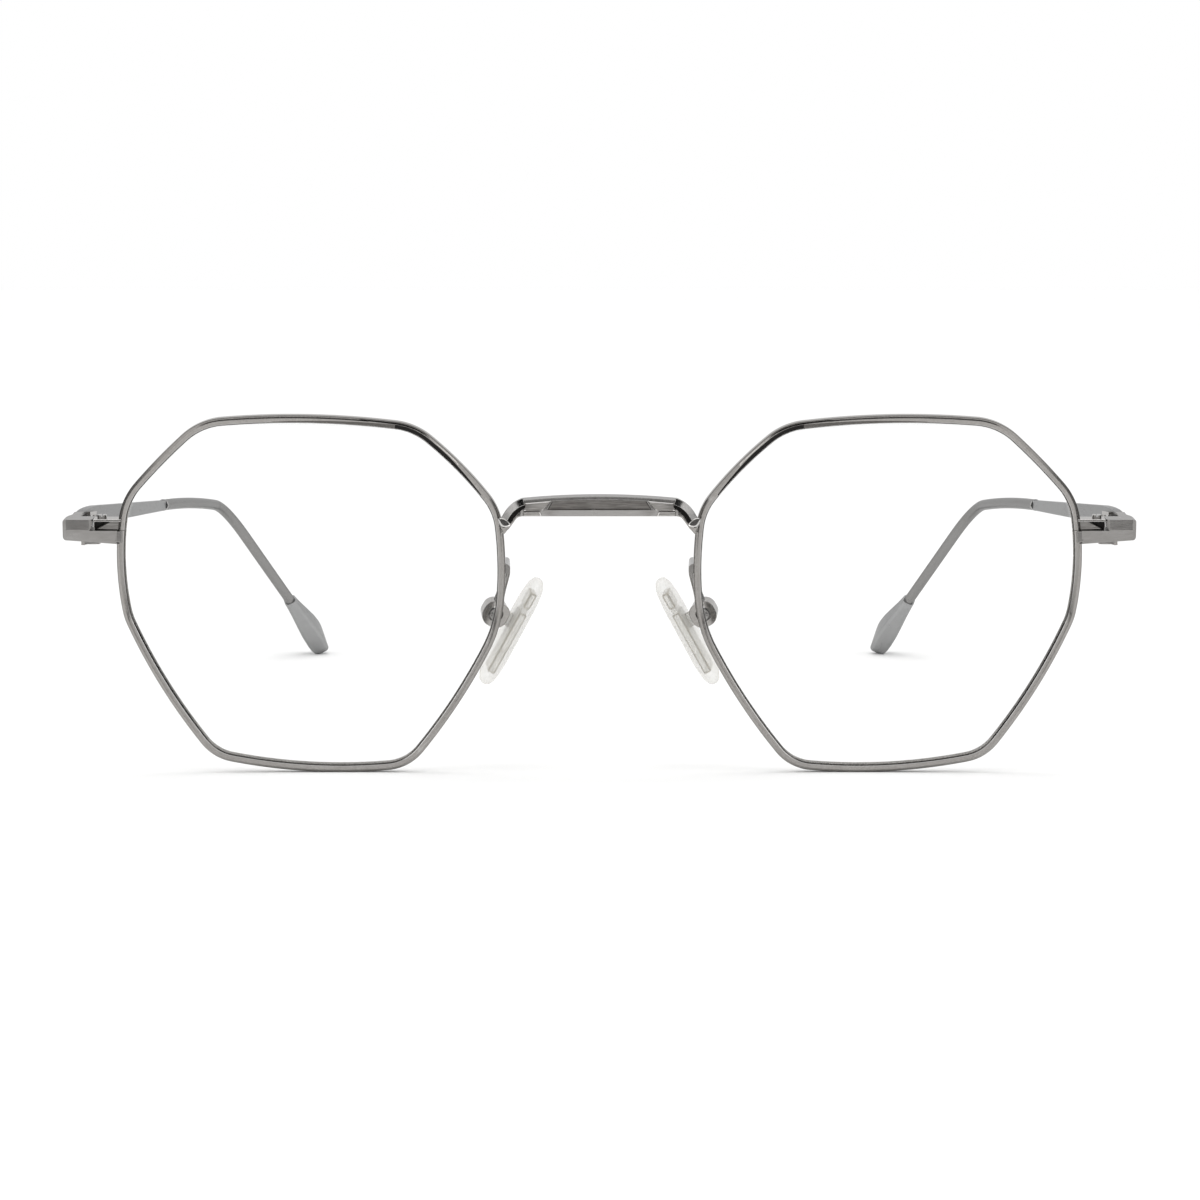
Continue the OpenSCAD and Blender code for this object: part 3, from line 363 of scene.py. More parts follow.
def padLook(name, colour, shade, alpha):
    p = padFinish
    look = newLook(name)
    clouds = look.noise(p["clouds"])
    facing = look.facing(p["blend"]) ** p["facingPower"]
    edges = look.edges(p["edgeFrom"], p["edgeGain"])
    byFacing, byClouds, byEdges = p["tone"]
    tint = look.mixed((facing * byFacing + (clouds - middle) * byClouds).clamped(), colour, shade)
    tint = look.mixed(edges * byEdges, tint, shade)
    byFacing, byClouds, byEdges = p["alpha"]
    cover = (facing * byFacing + edges * byEdges + alpha + (clouds - middle) * byClouds).clamped()
    roughness = (clouds * p["cloudRough"] + p["rough"]).clamped()
    bump = look.bump(clouds, p["bump"], p["bumpDepth"])
    return look.surface({"Base Color": tint, "Roughness": roughness, "IOR": p["ior"], "Alpha": cover,
                         "Normal": bump})


finishes = {name: metalLook(name, *spec) for name, spec in metals.items()}
finishes["lensGlass"] = lensLook()
for name, spec in pads.items():
    finishes[name] = padLook(name, *spec)
print("finishes are ready")

# places, from here on with all lengths in millimetres

stance = {
    "lean": 5.0, "slope": 2.5, "toe": 4.8,      # degrees
    "frontY": -66.3311, "lift": 0.0471,
    "hinge": (64.9, -62.9825, 30.6142),
    "eyeX": 36.4, "eyeZ": 22.959,
}


def turned(axis, degrees):
    return Matrix.Rotation(math.radians(degrees), 4, axis)


def moved(x, y, z):
    return Matrix.Translation((x, y, z))


asDrawn = Matrix.Identity(4)
atFront = moved(0, stance["frontY"], stance["lift"]) @ turned("X", stance["lean"])
atEye = atFront @ moved(stance["eyeX"], 0, stance["eyeZ"]) @ turned("X", 90)     # x out, y up, z forward
atHinge = moved(*stance["hinge"]) @ turned("X", -stance["slope"])
atTemple = atHinge @ turned("Z", stance["toe"])


def settle(name, mesh, tidy, sharp, node):
    # the last steps of every piece, with the edges sharp above an angle in degrees
    bmesh.ops.recalc_face_normals(tidy, faces=tidy.faces)
    tidy.to_mesh(mesh)
    tidy.free()
    mesh.shade_smooth()
    mesh.set_sharp_from_angle(angle=math.radians(sharp))
    piece = addObject(name, mesh)
    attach(piece, frame["nodes"][node]["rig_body"])
    return piece


def addPiece(name, shape, place, looks, node, side, sharp=28.0, paint=None, number=""):
    # puts a shape drawn for the wearer's left in place, or mirrored on the right;
    # side is empty for a piece in the middle, and paint says for each face which of the looks it has
    name += side.title() + number
    points, faces = shape
    flip = 1.0
    if side == "right":
        flip = -1.0
        faces = [tuple(reversed(face)) for face in faces]
    spots = [place @ Vector(point) for point in points]
    mesh = bpy.data.meshes.new(name)
    mesh.from_pydata([(flip * spot.x / 1000, spot.y / 1000, spot.z / 1000) for spot in spots], [], faces)
    for look in looks:
        mesh.materials.append(finishes[look])
    if paint:
        mesh.polygons.foreach_set("material_index", paint)
    mesh.validate()
    tidy = bmesh.new()
    tidy.from_mesh(mesh)
    return settle(name, mesh, tidy, sharp, node)


def soften(piece, width, segments=2, angle=30.0, look=None):
    # rounds the edges by a width, and can give the new faces a look of their own
    rounder = piece.modifiers.new("softEdges", "BEVEL")
    rounder.width = width / 1000
    rounder.segments = segments
    rounder.limit_method = "ANGLE"
    rounder.angle_limit = math.radians(angle)
    rounder.harden_normals = True
    if look:
        piece.data.materials.append(finishes[look])
        rounder.material = len(piece.data.materials) - 1


cleaning = {"weld": 0.000002, "flat": 1.2, "sharp": 30.0}     # metres, degrees, degrees


def fromSolid(node, name, look, width):
    # a softened copy of one of the solids
    mesh = frame["nodes"][node].data.copy()
    mesh.name = name
    mesh.materials.clear()
    mesh.materials.append(finishes[look])
    tidy = bmesh.new()
    tidy.from_mesh(mesh)
    bmesh.ops.remove_doubles(tidy, verts=tidy.verts, dist=cleaning["weld"])
    bmesh.ops.dissolve_limit(tidy, angle_limit=math.radians(cleaning["flat"]), verts=tidy.verts,
                             edges=tidy.edges)
    for face in tidy.faces:
        face.material_index = 0
    piece = settle(name, mesh, tidy, cleaning["sharp"], node)
    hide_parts(node)
    soften(piece, width)


def ringFaces(rings, count, caps=True):
    # quads between rings of points, and a cap on each end
    faces = []
    for ring in range(rings - 1):
        here, there = ring * count, (ring + 1) * count
        for k in range(count):
            m = (k + 1) % count
            faces.append((here + k, here + m, there + m, there + k))
    if caps:
        faces.append(tuple(range(count - 1, -1, -1)))
        faces.append(tuple((rings - 1) * count + k for k in range(count)))
    return faces


def oblong(left, right, low, high):
    return [(left, low), (right, low), (right, high), (left, high)]


def slab(outline, near, far, sideways=False):
    # an outline with depth: drawn from the front, or from the side with its depth along x
    if sideways:
        points = [(depth, across, up) for depth in (near, far) for across, up in outline]
    else:
        points = [(across, depth, up) for depth in (near, far) for across, up in outline]
    return points, ringFaces(2, len(outline))


def circlePoints(radius, count):
    turns = [2 * math.pi * k / count for k in range(count)]
    return [(radius * math.cos(a), radius * math.sin(a)) for a in turns]


def tube(path, radii, count):
    # a round wire through a list of matrices whose y runs along it
    points = []
    for spot, radius in zip(path, radii):
        points += [spot @ Vector((x, 0, z)) for x, z in circlePoints(radius, count)]
    return points, ringFaces(len(path), count)


def bend(start, radius, angle, steps):
    # matrices along an arc that turns down from y
    out = []
    for n in range(steps + 1):
        degrees = angle * n / steps
        a = math.radians(degrees)
        out.append(start @ moved(0, radius * math.sin(a), -radius * (1 - math.cos(a))) @ turned("X", -degrees))
    return out


def squarer(value, power):
    # makes a circle's sine or cosine that of a rounded square
    return math.copysign(abs(value) ** power, value)


sides = ("left", "right")

# the eye's outline: eight bowed sides with rounded corners

eye = {
    "width": 46.8, "height": 43.9, "shift": 0.4,
    "topLength": 26.8, "topDrop": 0.5, "bottomLength": 24.5, "bottomRise": 1.3,
    "nasalLength": 14.9, "nasalUp": 3.4, "temporalLength": 15.1, "temporalUp": 4.7,
    # from the upper nasal corner round by the top: each side's bow, each corner's radius
    "bows": (0.83, 0.3, 0.77, 0.74, 1.06, 0.75, 0.59, 0.56),
    "radii": (8.1, 8.1, 8.1, 8.1, 5.8, 5.8, 17.3, 7.4),
    # the rim's opening: the arc it is in, its height and its gap
    "splitArc": 5, "splitHeight": 8.4, "splitGap": 0.06,
}


def eyeCorners():
    e = eye
    w, h = e["width"] / 2, e["height"] / 2
    top, bottom = e["topLength"] / 2, e["bottomLength"] / 2
    nasal, temporal = e["nasalLength"] / 2, e["temporalLength"] / 2
    return [Vector(corner) for corner in (
        (e["shift"] - top, h - e["topDrop"]), (e["shift"] + top, h),
        (w, e["temporalUp"] + temporal), (w, e["temporalUp"] - temporal),
        (e["shift"] + bottom, -h + e["bottomRise"]), (e["shift"] - bottom, -h),
        (-w, e["nasalUp"] - nasal), (-w, e["nasalUp"] + nasal),
    )]


def eyeArcs():
    # (centre, radius, first angle, sweep) of every corner and side in turn
    corners = eyeCorners()
    count = len(corners)
    sideArcs = []
    for i, bow in enumerate(eye["bows"]):
        ahead = corners[(i + 1) % count]
        chord = ahead - corners[i]
        radius = ((chord.length / 2) ** 2 + bow ** 2) / (2 * bow)
        out = Vector((-chord.y, chord.x)).normalized()
        sideArcs.append(((corners[i] + ahead) / 2 - out * (radius - bow), radius))
    centres = []
    for i, cornerRadius in enumerate(eye["radii"]):
        # the corner's circle touches the two sides' circles from inside
        (c1, r1), (c2, r2) = sideArcs[i - 1], sideArcs[i]
        r1, r2 = r1 - cornerRadius, r2 - cornerRadius
        gap = (c2 - c1).length
        a = (r1 * r1 - r2 * r2 + gap * gap) / (2 * gap)
        b = math.sqrt(max(r1 * r1 - a * a, 0.0))
        along = (c2 - c1).normalized()
        across = Vector((-along.y, along.x))
        choices = (c1 + along * a + across * b, c1 + along * a - across * b)
        centres.append(min(choices, key=lambda p: (p - corners[i]).length))

    def heading(side, corner):
        toCorner = centres[corner % count] - sideArcs[side % count][0]
        return math.atan2(toCorner.y, toCorner.x)

    arcs = []
    for i in range(count):
        before, here, after = heading(i - 1, i), heading(i, i), heading(i, i + 1)
        arcs.append((centres[i], eye["radii"][i], here, (before - here) % (2 * math.pi)))
        arcs.append((sideArcs[i][0], sideArcs[i][1], after, (here - after) % (2 * math.pi)))
    return arcs


def eyeStations(steps):
    # (centre, radius, angle) along the rim, from one side of its opening to the other
    arcs = eyeArcs()
    split, halfGap = eye["splitArc"], eye["splitGap"] / 2
    centre, radius, first, sweep = arcs[split]
    low = math.asin((eye["splitHeight"] - halfGap - centre.y) / radius)
    high = math.asin((eye["splitHeight"] + halfGap - centre.y) / radius)
    order = [(centre, radius, first, low - first)]
    order += [arcs[(split + n) % len(arcs)] for n in range(1, len(arcs))]
    order.append((centre, radius, high, first + sweep - high))
    out = []
    for c, r, start, span in order:
        out += [(c, r, start + span * (1 - n / steps)) for n in range(steps)]
    out.append((centre, radius, high))
    return out


rimWire = {
    "steps": 14, "sharp": 24.0,
    # the wire's section as (outward, forward): groove, back, outer side, crowned face
    "section": [
        (-0.12, 0.0), (-0.5, -0.5), (-0.5, -0.72), (-0.42, -0.82), (-0.30, -0.88), (0.30, -0.88), (0.43, -0.81),
        (0.50, -0.70), (0.50, 0.50), (0.485, 0.57), (0.42, 0.655), (0.16, 0.88), (0.08, 0.90), (0.0, 0.885),
        (-0.29, 0.77), (-0.37, 0.73), (-0.46, 0.63), (-0.5, 0.5), (-0.44, 0.40), (-0.38, 0.28),
    ],
    # strips of the section, counted from its first point, with painted dark lines of reflection and shade, and
    # the one with a painted highlight
    "lines": (9, 15, 16, 17, 18), "glint": 14,
    # the dark band inside the crown, a painted reflection: its outer points at no width and at full width, and
    # its strips
    "bandPoints": {12: ((0.08, 0.90), (0.15, 0.884)), 13: ((-0.27, 0.778), (0.14, 0.882))},
    "shadeBandStrips": (13, 14), "bandGlint": 15,
    # the sides and corners it lies on, counted from the opening down and round, and the share it grows over
    "bandGrows": 10, "bandKeeps": 11, "bandFades": 12, "bandRun": 0.7,
    # the lower outer side, where the inner line is painted nearly black as shade
    "deep": 2, "deepShadeStrips": (15, 16, 17),
}


def bandAt(ring):
    # which side or corner one step of the rim's path is on, and the painted band's width there from 0 to 1
    w = rimWire
    arc, step = divmod(ring, w["steps"])
    run = step / w["steps"] / w["bandRun"]
    if arc == w["bandGrows"]:
        return arc, min(1.0, run)
    if arc == w["bandKeeps"]:
        return arc, 1.0
    if arc == w["bandFades"]:
        return arc, max(0.0, 1.0 - run)
    return arc, 0.0


# the look of one strip of the rim: painted shade, a painted highlight or the plain metal
def rimFinish(ring, strip):
    w = rimWire
    arc, width = bandAt(ring)
    if width > 0.0 and strip in w["shadeBandStrips"] or arc == w["deep"] and strip in w["deepShadeStrips"]:
        return "paintedShadeLineMetal" if arc == w["bandFades"] else "paintedShadeMetal"
    if width > 0.0 and strip == w["bandGlint"] or strip == w["glint"]:
        return "steelAndPaintedGlint"
    return "paintedShadeLineMetal" if strip in w["lines"] else "gunmetal"


def makeRim(side):
    w = rimWire
    # the plain metal, painted dark lines, a painted highlight and painted shade
    looks = ["gunmetal", "paintedShadeLineMetal", "steelAndPaintedGlint", "paintedShadeMetal"]
    points, paint = [], []
    stations = eyeStations(w["steps"])
    for ring, (c, r, a) in enumerate(stations):
        arc, width = bandAt(ring)
        for k, (out, forward) in enumerate(w["section"]):
            if k in w["bandPoints"] and w["bandGrows"] <= arc <= w["bandFades"]:
                (out0, forward0), (out1, forward1) = w["bandPoints"][k]
                out, forward = out0 + (out1 - out0) * width, forward0 + (forward1 - forward0) * width
            points.append((c.x + (r + out) * math.cos(a), c.y + (r + out) * math.sin(a), forward))
            paint.append(looks.index(rimFinish(ring, k)))
    count = len(w["section"])
    faces = ringFaces(len(stations), count)
    paint = paint[:-count] + [0, 0]      # the last ring's place is taken by the two caps
    node = "rim_" + side
    rim = addPiece("rimWire", (points, faces), atEye, looks, node, side,
                   sharp=w["sharp"], paint=paint)
    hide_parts(node)


lensShape = {
    "steps": 6, "thick": 1.6, "curve": 260.0, "sharp": 20.0,
    # the edge inside the rim, the bevel that stands out into its groove, and how far inside the faces end
    "edge": -0.55, "bevel": 0.36, "inset": 0.1,
    # half the thickness of the edge and of the bevel's ridge
    "edgeHalf": 0.5, "ridgeHalf": 0.03,
    "rings": (0.985, 0.94, 0.86, 0.75, 0.6, 0.42, 0.22),
}


def makeLens(side):
    s = lensShape
    stations = eyeStations(s["steps"])
    edgeSag = (eye["width"] / 2) ** 2 / (2 * s["curve"])

    def depth(x, y, face):
        return edgeSag + face * s["thick"] / 2 - (x * x + y * y) / (2 * s["curve"])

    def ring(out, scale=1.0, face=None, level=None):
        row = []
        for c, r, a in stations:
            x = (c.x + (r + out) * math.cos(a)) * scale
            y = (c.y + (r + out) * math.sin(a)) * scale
            row.append((x, y, depth(x, y, face) if level is None else level))
        return row

    edge, ridge, inner = s["edge"], s["edge"] + s["bevel"], s["edge"] - s["inset"]
    rows = [ring(inner, scale, -1) for scale in reversed(s["rings"])]
    rows += [
        ring(inner, face=-1), ring(edge, level=-s["edgeHalf"]), ring(ridge, level=-s["ridgeHalf"]),
        ring(ridge, level=s["ridgeHalf"]), ring(edge, level=s["edgeHalf"]), ring(inner, face=1),
    ]
    rows += [ring(inner, scale, 1) for scale in s["rings"]]
    points = [point for row in rows for point in row]
    count = len(stations)
    faces = ringFaces(len(rows), count, caps=False)
    for start, face in ((0, -1), (len(points) - count, 1)):
        hub = len(points)
        points.append((0.0, 0.0, depth(0, 0, face)))
        faces += [(start + k, start + (k + 1) % count, hub) for k in range(count)]
    node = "lens_" + side
    lens = addPiece("lensGlass", (points, faces), atEye, ["lensGlass"], node, side,
                    s["sharp"])
    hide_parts(node)


for side in sides:
    makeRim(side)
    makeLens(side)
print("rims and lenses are made")

# bridge

bridge = {
    "half": 10.0, "top": stance["eyeZ"] + 12.8, "height": 2.6, "archRadius": 100.25, "arch": 0.5,
    "front": -1.35, "back": 0.85, "facetBack": 0.5, "border": 0.42, "soft": 0.08,
    # the sunk panel: its walls lean by panelWall at the ends and by panelLip above and below
    "panelHeight": 1.26, "panelDepth": 0.36, "panelHalfTop": 5.9, "panelHalfBottom": 6.5,
    "panelWall": 0.07, "panelLip": 0.06,
    # places across half of the bar: in the panel, on both sides of its end, and beyond it
    "inPanel": (0, 1.6, 3.2, 4.6), "panelEnd": (5.9, 6.2), "beyond": (7.4, 8.7, 9.4),
}


def archDrop(x):
    return bridge["archRadius"] - math.sqrt(bridge["archRadius"] ** 2 - x * x)


def bridgeBar():
    b = bridge
    low = b["top"] - b["height"]
    facetTop = b["top"] - b["border"] - b["panelHeight"]
    upper, lower, wall = b["panelHalfTop"], b["panelHalfBottom"], b["panelWall"]
    stations = [(x, x, x, 1) for x in b["inPanel"]]
    stations.append((upper - wall, lower - wall, b["panelEnd"][0], 1))
    stations.append((upper + wall, lower + wall, b["panelEnd"][1], 0))
    stations += [(x, x, x, 0) for x in b["beyond"] + (b["half"],)]
    rows = [(-t, -u, -m, sunk) for t, u, m, sunk in reversed(stations[1:])] + stations
    points = []
    for upper, lower, mean, sunk in rows:
        depth = b["front"] + b["panelDepth"] * sunk
        lip = b["panelLip"] * sunk
        top = b["top"] - archDrop(mean)
        upperTop = b["top"] - archDrop(upper) - b["border"]
        points += [
            (mean, b["back"], low), (mean, b["back"], top), (mean, b["front"], top),
            (upper, b["front"], upperTop), (upper, depth, upperTop - lip),
            (lower, depth, facetTop + lip), (lower, b["front"], facetTop),
            (mean, b["front"] + b["facetBack"], low),
        ]
    count = 8
    faces = ringFaces(len(rows), count)
    floor = (4, 5)      # the panel's floor lies between these two points of a ring
    paint = [0] * len(faces)
    for n, face in enumerate(faces[:-2]):
        if all(v % count in floor and abs(points[v][0]) < b["panelHalfBottom"] for v in face):
            paint[n] = 1
    return (points, faces), paint


armShape = {
    "width": 1.4, "radius": 3.6, "first": 18.0, "last": 60.0, "end": 0.75, "short": 1.67, "down": 0.2,
    # depths forward of the ridged front, shares of the ridge's height and of half the width, steps of the turn
    "near": 0.9, "thick": 0.3, "ridge": 1.0, "shoulder": 0.35, "crest": 0.12, "steps": 14, "soft": 0.06,
}


def bridgeArm():
    # a bar with a ridge, turned down from the end of the bridge and cut off square
    a, b = armShape, bridge
    w, near, steps = a["width"] / 2, a["near"], a["steps"]
    shoulder = near + a["ridge"] * a["shoulder"]
    section = [(-w, near - a["thick"]), (w, near - a["thick"]), (w, shoulder),
               (-w * a["crest"], near + a["ridge"]), (-w, shoulder)]
    startX = b["half"] - a["short"]
    startZ = b["top"] - b["arch"] - a["down"] - a["radius"]
    points = []
    for n in range(steps + 1):
        turn = math.radians(90 - a["first"] - (a["last"] - a["first"]) * n / steps)
        for out, forward in section:
            r = a["radius"] + out
            points.append((startX + r * math.cos(turn), -forward, startZ + r * math.sin(turn)))
    count = len(section)
    turn = math.radians(90 - a["last"])
    along = Vector((math.sin(turn), 0, -math.cos(turn)))
    points += [tuple(Vector(point) + along * a["end"]) for point in points[-count:]]
    faces = ringFaces(steps + 2, count)
    # the side towards the bar is painted in shade, the rest with a painted highlight
    paint = [int(n % count in (3, 4) and n < count * (steps + 1)) for n in range(len(faces))]
    return (points, faces), paint


capShape = {
    # place from the bar's end and top, and the directions across and down the slanted face
    "out": 1.98, "front": -2.12, "drop": 3.12, "across": (0.866, 0.0, 0.5), "down": (0.28, -0.62, -0.73),
    # rings: half width, half height, lift
    "rings": ((0.74, 0.50, -0.55), (0.86, 0.60, -0.06), (0.84, 0.58, 0.04), (0.74, 0.47, 0.06),
              (0.68, 0.42, 0.0)),
    # flat on top, long and narrow below, like a small shield
    "flatTop": 0.72, "longFoot": 1.12, "narrow": 0.34, "count": 20,
}


def armCap():
    # the arm's end, cut on a slant: a ring with a painted highlight round a small oval face
    c, b = capShape, bridge
    across, down = Vector(c["across"]), Vector(c["down"]).normalized()
    out = across.cross(down).normalized()
    out = out if out.y < 0 else -out
    centre = Vector((b["half"] + c["out"], c["front"], b["top"] - c["drop"]))
    points = []
    for wide, high, lift in c["rings"]:
        for x, z in circlePoints(1.0, c["count"]):
            z = z * (c["flatTop"] if z < 0 else c["longFoot"])
            x = x * (1.0 - c["narrow"] * max(z, 0.0))
            points.append(centre + across * (x * wide) + down * (z * high) + out * lift)
    faces = ringFaces(len(c["rings"]), c["count"])
    paint = [int(c["count"] <= n < 4 * c["count"]) for n in range(len(faces))]
    return (points, faces), paint


lugShape = {
    # both outlines are seen from the front, from the bar's end and foot
    "outline": [(-0.6, 0.1), (0.35, -0.15), (0.95, -0.95), (1.4, -1.6), (2.0, -2.1), (2.6, -2.4), (2.35, -0.4),
                (1.0, 0.8), (-0.6, 1.2)],
    "front": -0.9, "back": 0.6, "soft": 0.18,
    # the point on it: an outer, an inner and an upper face that meet in a Y
    "point": [(0.95, -0.75), (1.45, -1.6), (2.05, -2.35), (2.5, -1.5), (2.4, -0.55), (1.7, -0.1)],
    "tip": (1.75, -1.15), "tipFront": -1.32, "pointBack": -0.82, "pointSoft": 0.05,
}


def fromBarEnd(outline):
    return [(bridge["half"] + x, bridge["top"] - bridge["height"] + z) for x, z in outline]


def bridgePoint():
    s = lugShape
    outline = fromBarEnd(s["point"])
    x, z = fromBarEnd([s["tip"]])[0]
    points = [(across, s["pointBack"], up) for across, up in outline] + [(x, s["tipFront"], z)]
    count = len(outline)
    faces = [(k, (k + 1) % count, count) for k in range(count)]
    faces.append(tuple(range(count - 1, -1, -1)))
    return points, faces


raised = {
    # low blocks on the bar, from the front with heights below its top, then the place behind its face,
    # rise, inset of the top, tilt and rounding
    "bridgeCushion": ([(6.05, -0.30), (9.45, -0.30), (9.62, -1.86), (7.1, -1.76)], 0.0, 0.14, 0.30, 0.0, 0.07),
    "bridgeStep": ([(7.4, -1.98), (9.66, -1.98), (9.66, -2.52), (7.22, -2.52)], 0.14, 0.18, 0.16, 0.5, 0.05),
}
raisedSides = {"root": 0.2, "shoulder": (0.7, 0.45), "tiltFrom": 0.3, "archedAbove": -1.0}


def raisedFace(outline, behind, rise, inset, tilt):
    # a low block with sloping sides, whose top follows the arch
    s = raisedSides
    near = bridge["front"] + behind
    up, draw = s["shoulder"]
    centre = Vector((sum(x for x, z in outline) / len(outline), sum(z for x, z in outline) / len(outline)))
    points = []
    for depth, pull in ((near + s["root"], 0.0), (near, 0.0), (near - rise * up, inset * draw),
                        (near - rise, inset)):
        for x, z in outline:
            corner = Vector((x, z))
            spot = corner + (centre - corner).normalized() * pull
            back = tilt * (centre.y + s["tiltFrom"] - spot.y)
            drop = archDrop(spot.x) if spot.y > s["archedAbove"] else 0.0
            points.append((spot.x, depth + back, bridge["top"] - drop + spot.y))
    return points, ringFaces(4, len(outline))


def makeBridge():
    shape, paint = bridgeBar()
    bar = addPiece("bridgeBar", shape, atFront, ["satinMetal", "panelMetal"], "bridge", "", paint=paint)
    soften(bar, bridge["soft"], 3)
    for side in sides:
        shape = slab(fromBarEnd(lugShape["outline"]), lugShape["front"], lugShape["back"])
        lug = addPiece("bridgeLug", shape, atFront, ["gunmetal"], "bridge", side)
        soften(lug, lugShape["soft"], 3)
        point = addPiece("bridgePoint", bridgePoint(), atFront, ["gunmetal"], "bridge", side)
        soften(point, lugShape["pointSoft"], 3)
        for name, (*measures, soft) in raised.items():
            low = addPiece(name, raisedFace(*measures), atFront, ["brushedMetal"], "bridge", side)
            # their rounded edges carry a painted highlight
            soften(low, soft, 3, look="paintedHighlightMetal")
        shape, paint = bridgeArm()
        arm = addPiece("bridgeArm", shape, atFront, ["steelAndPaintedGlint", "paintedShadeMetal"], "bridge", side,
                       paint=paint)
        soften(arm, armShape["soft"], 3)
        shape, paint = armCap()
        addPiece("bridgeArmEnd", shape, atFront, ["satinMetal", "paintedHighlightMetal"], "bridge", side,
                 paint=paint)
    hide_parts("bridge")


makeBridge()
print("bridge is made")

# endpieces, closing blocks, hinges and screws

softCopies = {
    # solid: piece name, look, slot, rounding
    "endpiece": ("endpiece", "satinMetal", "gunmetal", 0.16),
    "closing_screw": ("closingScrew", "steelAndPaintedGlint", "screw_steel", 0.03),
    "hinge_front": ("hingeFront", "gunmetal", "gunmetal", 0.05),
    "hinge_rear": ("hingeRear", "gunmetal", "gunmetal", 0.05),
    "hinge_screw": ("hingeScrew", "steelAndPaintedGlint", "screw_steel", 0.03),
    "temple_blade": ("templeBlade", "bladeMetal", "pale_gunmetal", 0.12),
    "pad_box": ("padBox", "gunmetal", "screw_steel", 0.08),
    "pad_screw": ("padScrew", "satinMetal", "screw_steel", 0.03),
    "pad_core": ("padCore", "padCore", "clear_core", 0.05),
}
for side in sides:
    for solid, (name, look, slot, width) in softCopies.items():
        fromSolid(solid + "_" + side, name + side.title(), look, width)

block = {
    # seen from the front: places across from the rim outward, heights and depths
    "inside": 60.1, "outside": 63.92, "foot": 31.36, "top": 32.76, "lip": 0.30,
    "front": -0.86, "face": -0.62, "back": 1.5,
    # the face's outer edge: its places at the top and at the foot, and the foot's rise
    "edge": (61.75, 63.55, 0.12),
    # the corner behind that edge, painted in shade
    "deep": 0.35, "shadeInset": 0.2,
    "faceSoft": 0.05, "shadeSoft": 0.03, "lipSoft": 0.07,
}


def closingBlock(side):
    k = block
    inside, outside, low, high = k["inside"], k["outside"], k["foot"], k["top"] - k["lip"]
    topX, lowX, lowRise = k["edge"]
    node = "rim_lock_" + side
    # the lower inner part of the face, brushed and framed by edges of painted shade
    outline = [(inside, low), (lowX, low + lowRise), (topX, high), (inside, high)]
    face = addPiece("closingBlockFace", slab(outline, k["face"], k["back"]), atFront,
                    ["brushedMetal"], node, side)
    soften(face, k["faceSoft"], look="paintedShadeLineMetal")
    # the outer upper corner lies deep behind it, painted in shade
    outline = oblong(inside + k["shadeInset"], outside, low, high)
    deep = addPiece("closingBlockShade", slab(outline, k["deep"], k["back"]), atFront,
                    ["paintedShadeMetal"], node, side)
    soften(deep, k["shadeSoft"])
    # the lip over both, its rounded edges with a painted highlight, and the block's back
    outline = oblong(inside, outside, high, k["top"])
    lip = addPiece("closingBlockLip", slab(outline, k["front"], k["back"]), atFront,
                   ["gunmetal"], node, side)
    soften(lip, k["lipSoft"], 3, look="paintedHighlightMetal")
    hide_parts(node)


underEndpiece = {
    # solder that fills the joint between the rim and the endpiece's lower half
    "solder": [(60.28, 29.75), (60.95, 29.8), (61.6, 30.15), (61.6, 31.32), (60.22, 31.32)],
    "solderDepths": (-0.95, 0.4), "solderSoft": 0.2,
    # the hinge's low foot: inner and outer end, top, how far it hangs down, and its profile in shares of both
    "ends": (62.8, 65.4), "top": 30.16, "hang": 0.5, "depths": (-0.75, 0.7), "soft": 0.08,
    "profile": ((0.0, 0.0), (0.12, 0.6), (0.3, 1.0), (0.78, 1.0), (0.93, 0.75), (1.0, 0.0)),
}


def solderAndFoot(side):
    k = underEndpiece
    node = "endpiece_" + side
    seam = addPiece("endpieceSolder", slab(k["solder"], *k["solderDepths"]), atFront,
                    ["satinMetal"], node, side)
    soften(seam, k["solderSoft"], 4)
    first, last = k["ends"]
    outline = [(first + (last - first) * share, k["top"] - k["hang"] * drop) for share, drop in k["profile"]]
    foot = addPiece("hingeFoot", slab(outline, *k["depths"]), atFront, ["satinMetal"], node, side)
    soften(foot, k["soft"], 3)


for side in sides:
    closingBlock(side)
    solderAndFoot(side)
print("small metal pieces are made")

# temples

temple = {
    "inside": 1.05, "bladeThick": 1.1, "bladeLength": 54.2, "up": 1.6, "jointGap": 0.35,
    "rodRadius": 0.79, "rodLength": 41.0, "droop": 3.4, "rodSteps": 12,
    "earRadius": 26.0, "earBend": 35.3, "earRoll": 25.0, "earSteps": 22, "leg": 18.93, "legSteps": 4,
    "rodCount": 32, "rodChamfer": (0.1, 0.06), "rodSharp": 40.0,
    # the neck behind the blade's shoulder, painted in shade: (along, radius)
    "neck": ((-0.3, 0.55), (0.0, 0.55), (0.12, 0.5), (0.25, 0.5), (0.45, 0.5)), "neckCount": 24,
    # the rod's mouth in painted shade and the ring round it with a painted highlight: (along from the rod's end,
    # added to its radius)
    "mouth": ((-0.05, -0.08), (0.05, -0.08)),
    "ring": ((0.0, -0.06), (0.05, 0.03), (0.16, 0.03), (0.21, -0.02)),
}


def rodPath():
    t = temple
    start = atTemple @ moved(t["inside"] + t["bladeThick"] / 2, t["bladeLength"], t["up"])
    curve = t["rodLength"] / math.radians(t["droop"])
    first = bend(start, curve, t["droop"], t["rodSteps"])
    second = bend(first[-1] @ turned("Y", t["earRoll"]), t["earRadius"], t["earBend"], t["earSteps"])
    legs = [second[-1] @ moved(0, t["leg"] * n / t["legSteps"], 0) for n in range(1, t["legSteps"] + 1)]
    return first, second, legs


def shortTube(start, offset, radius, stations, count):
    path = [start @ moved(0, offset + along, 0) for along, grow in stations]
    return tube(path, [radius + grow for along, grow in stations], count)


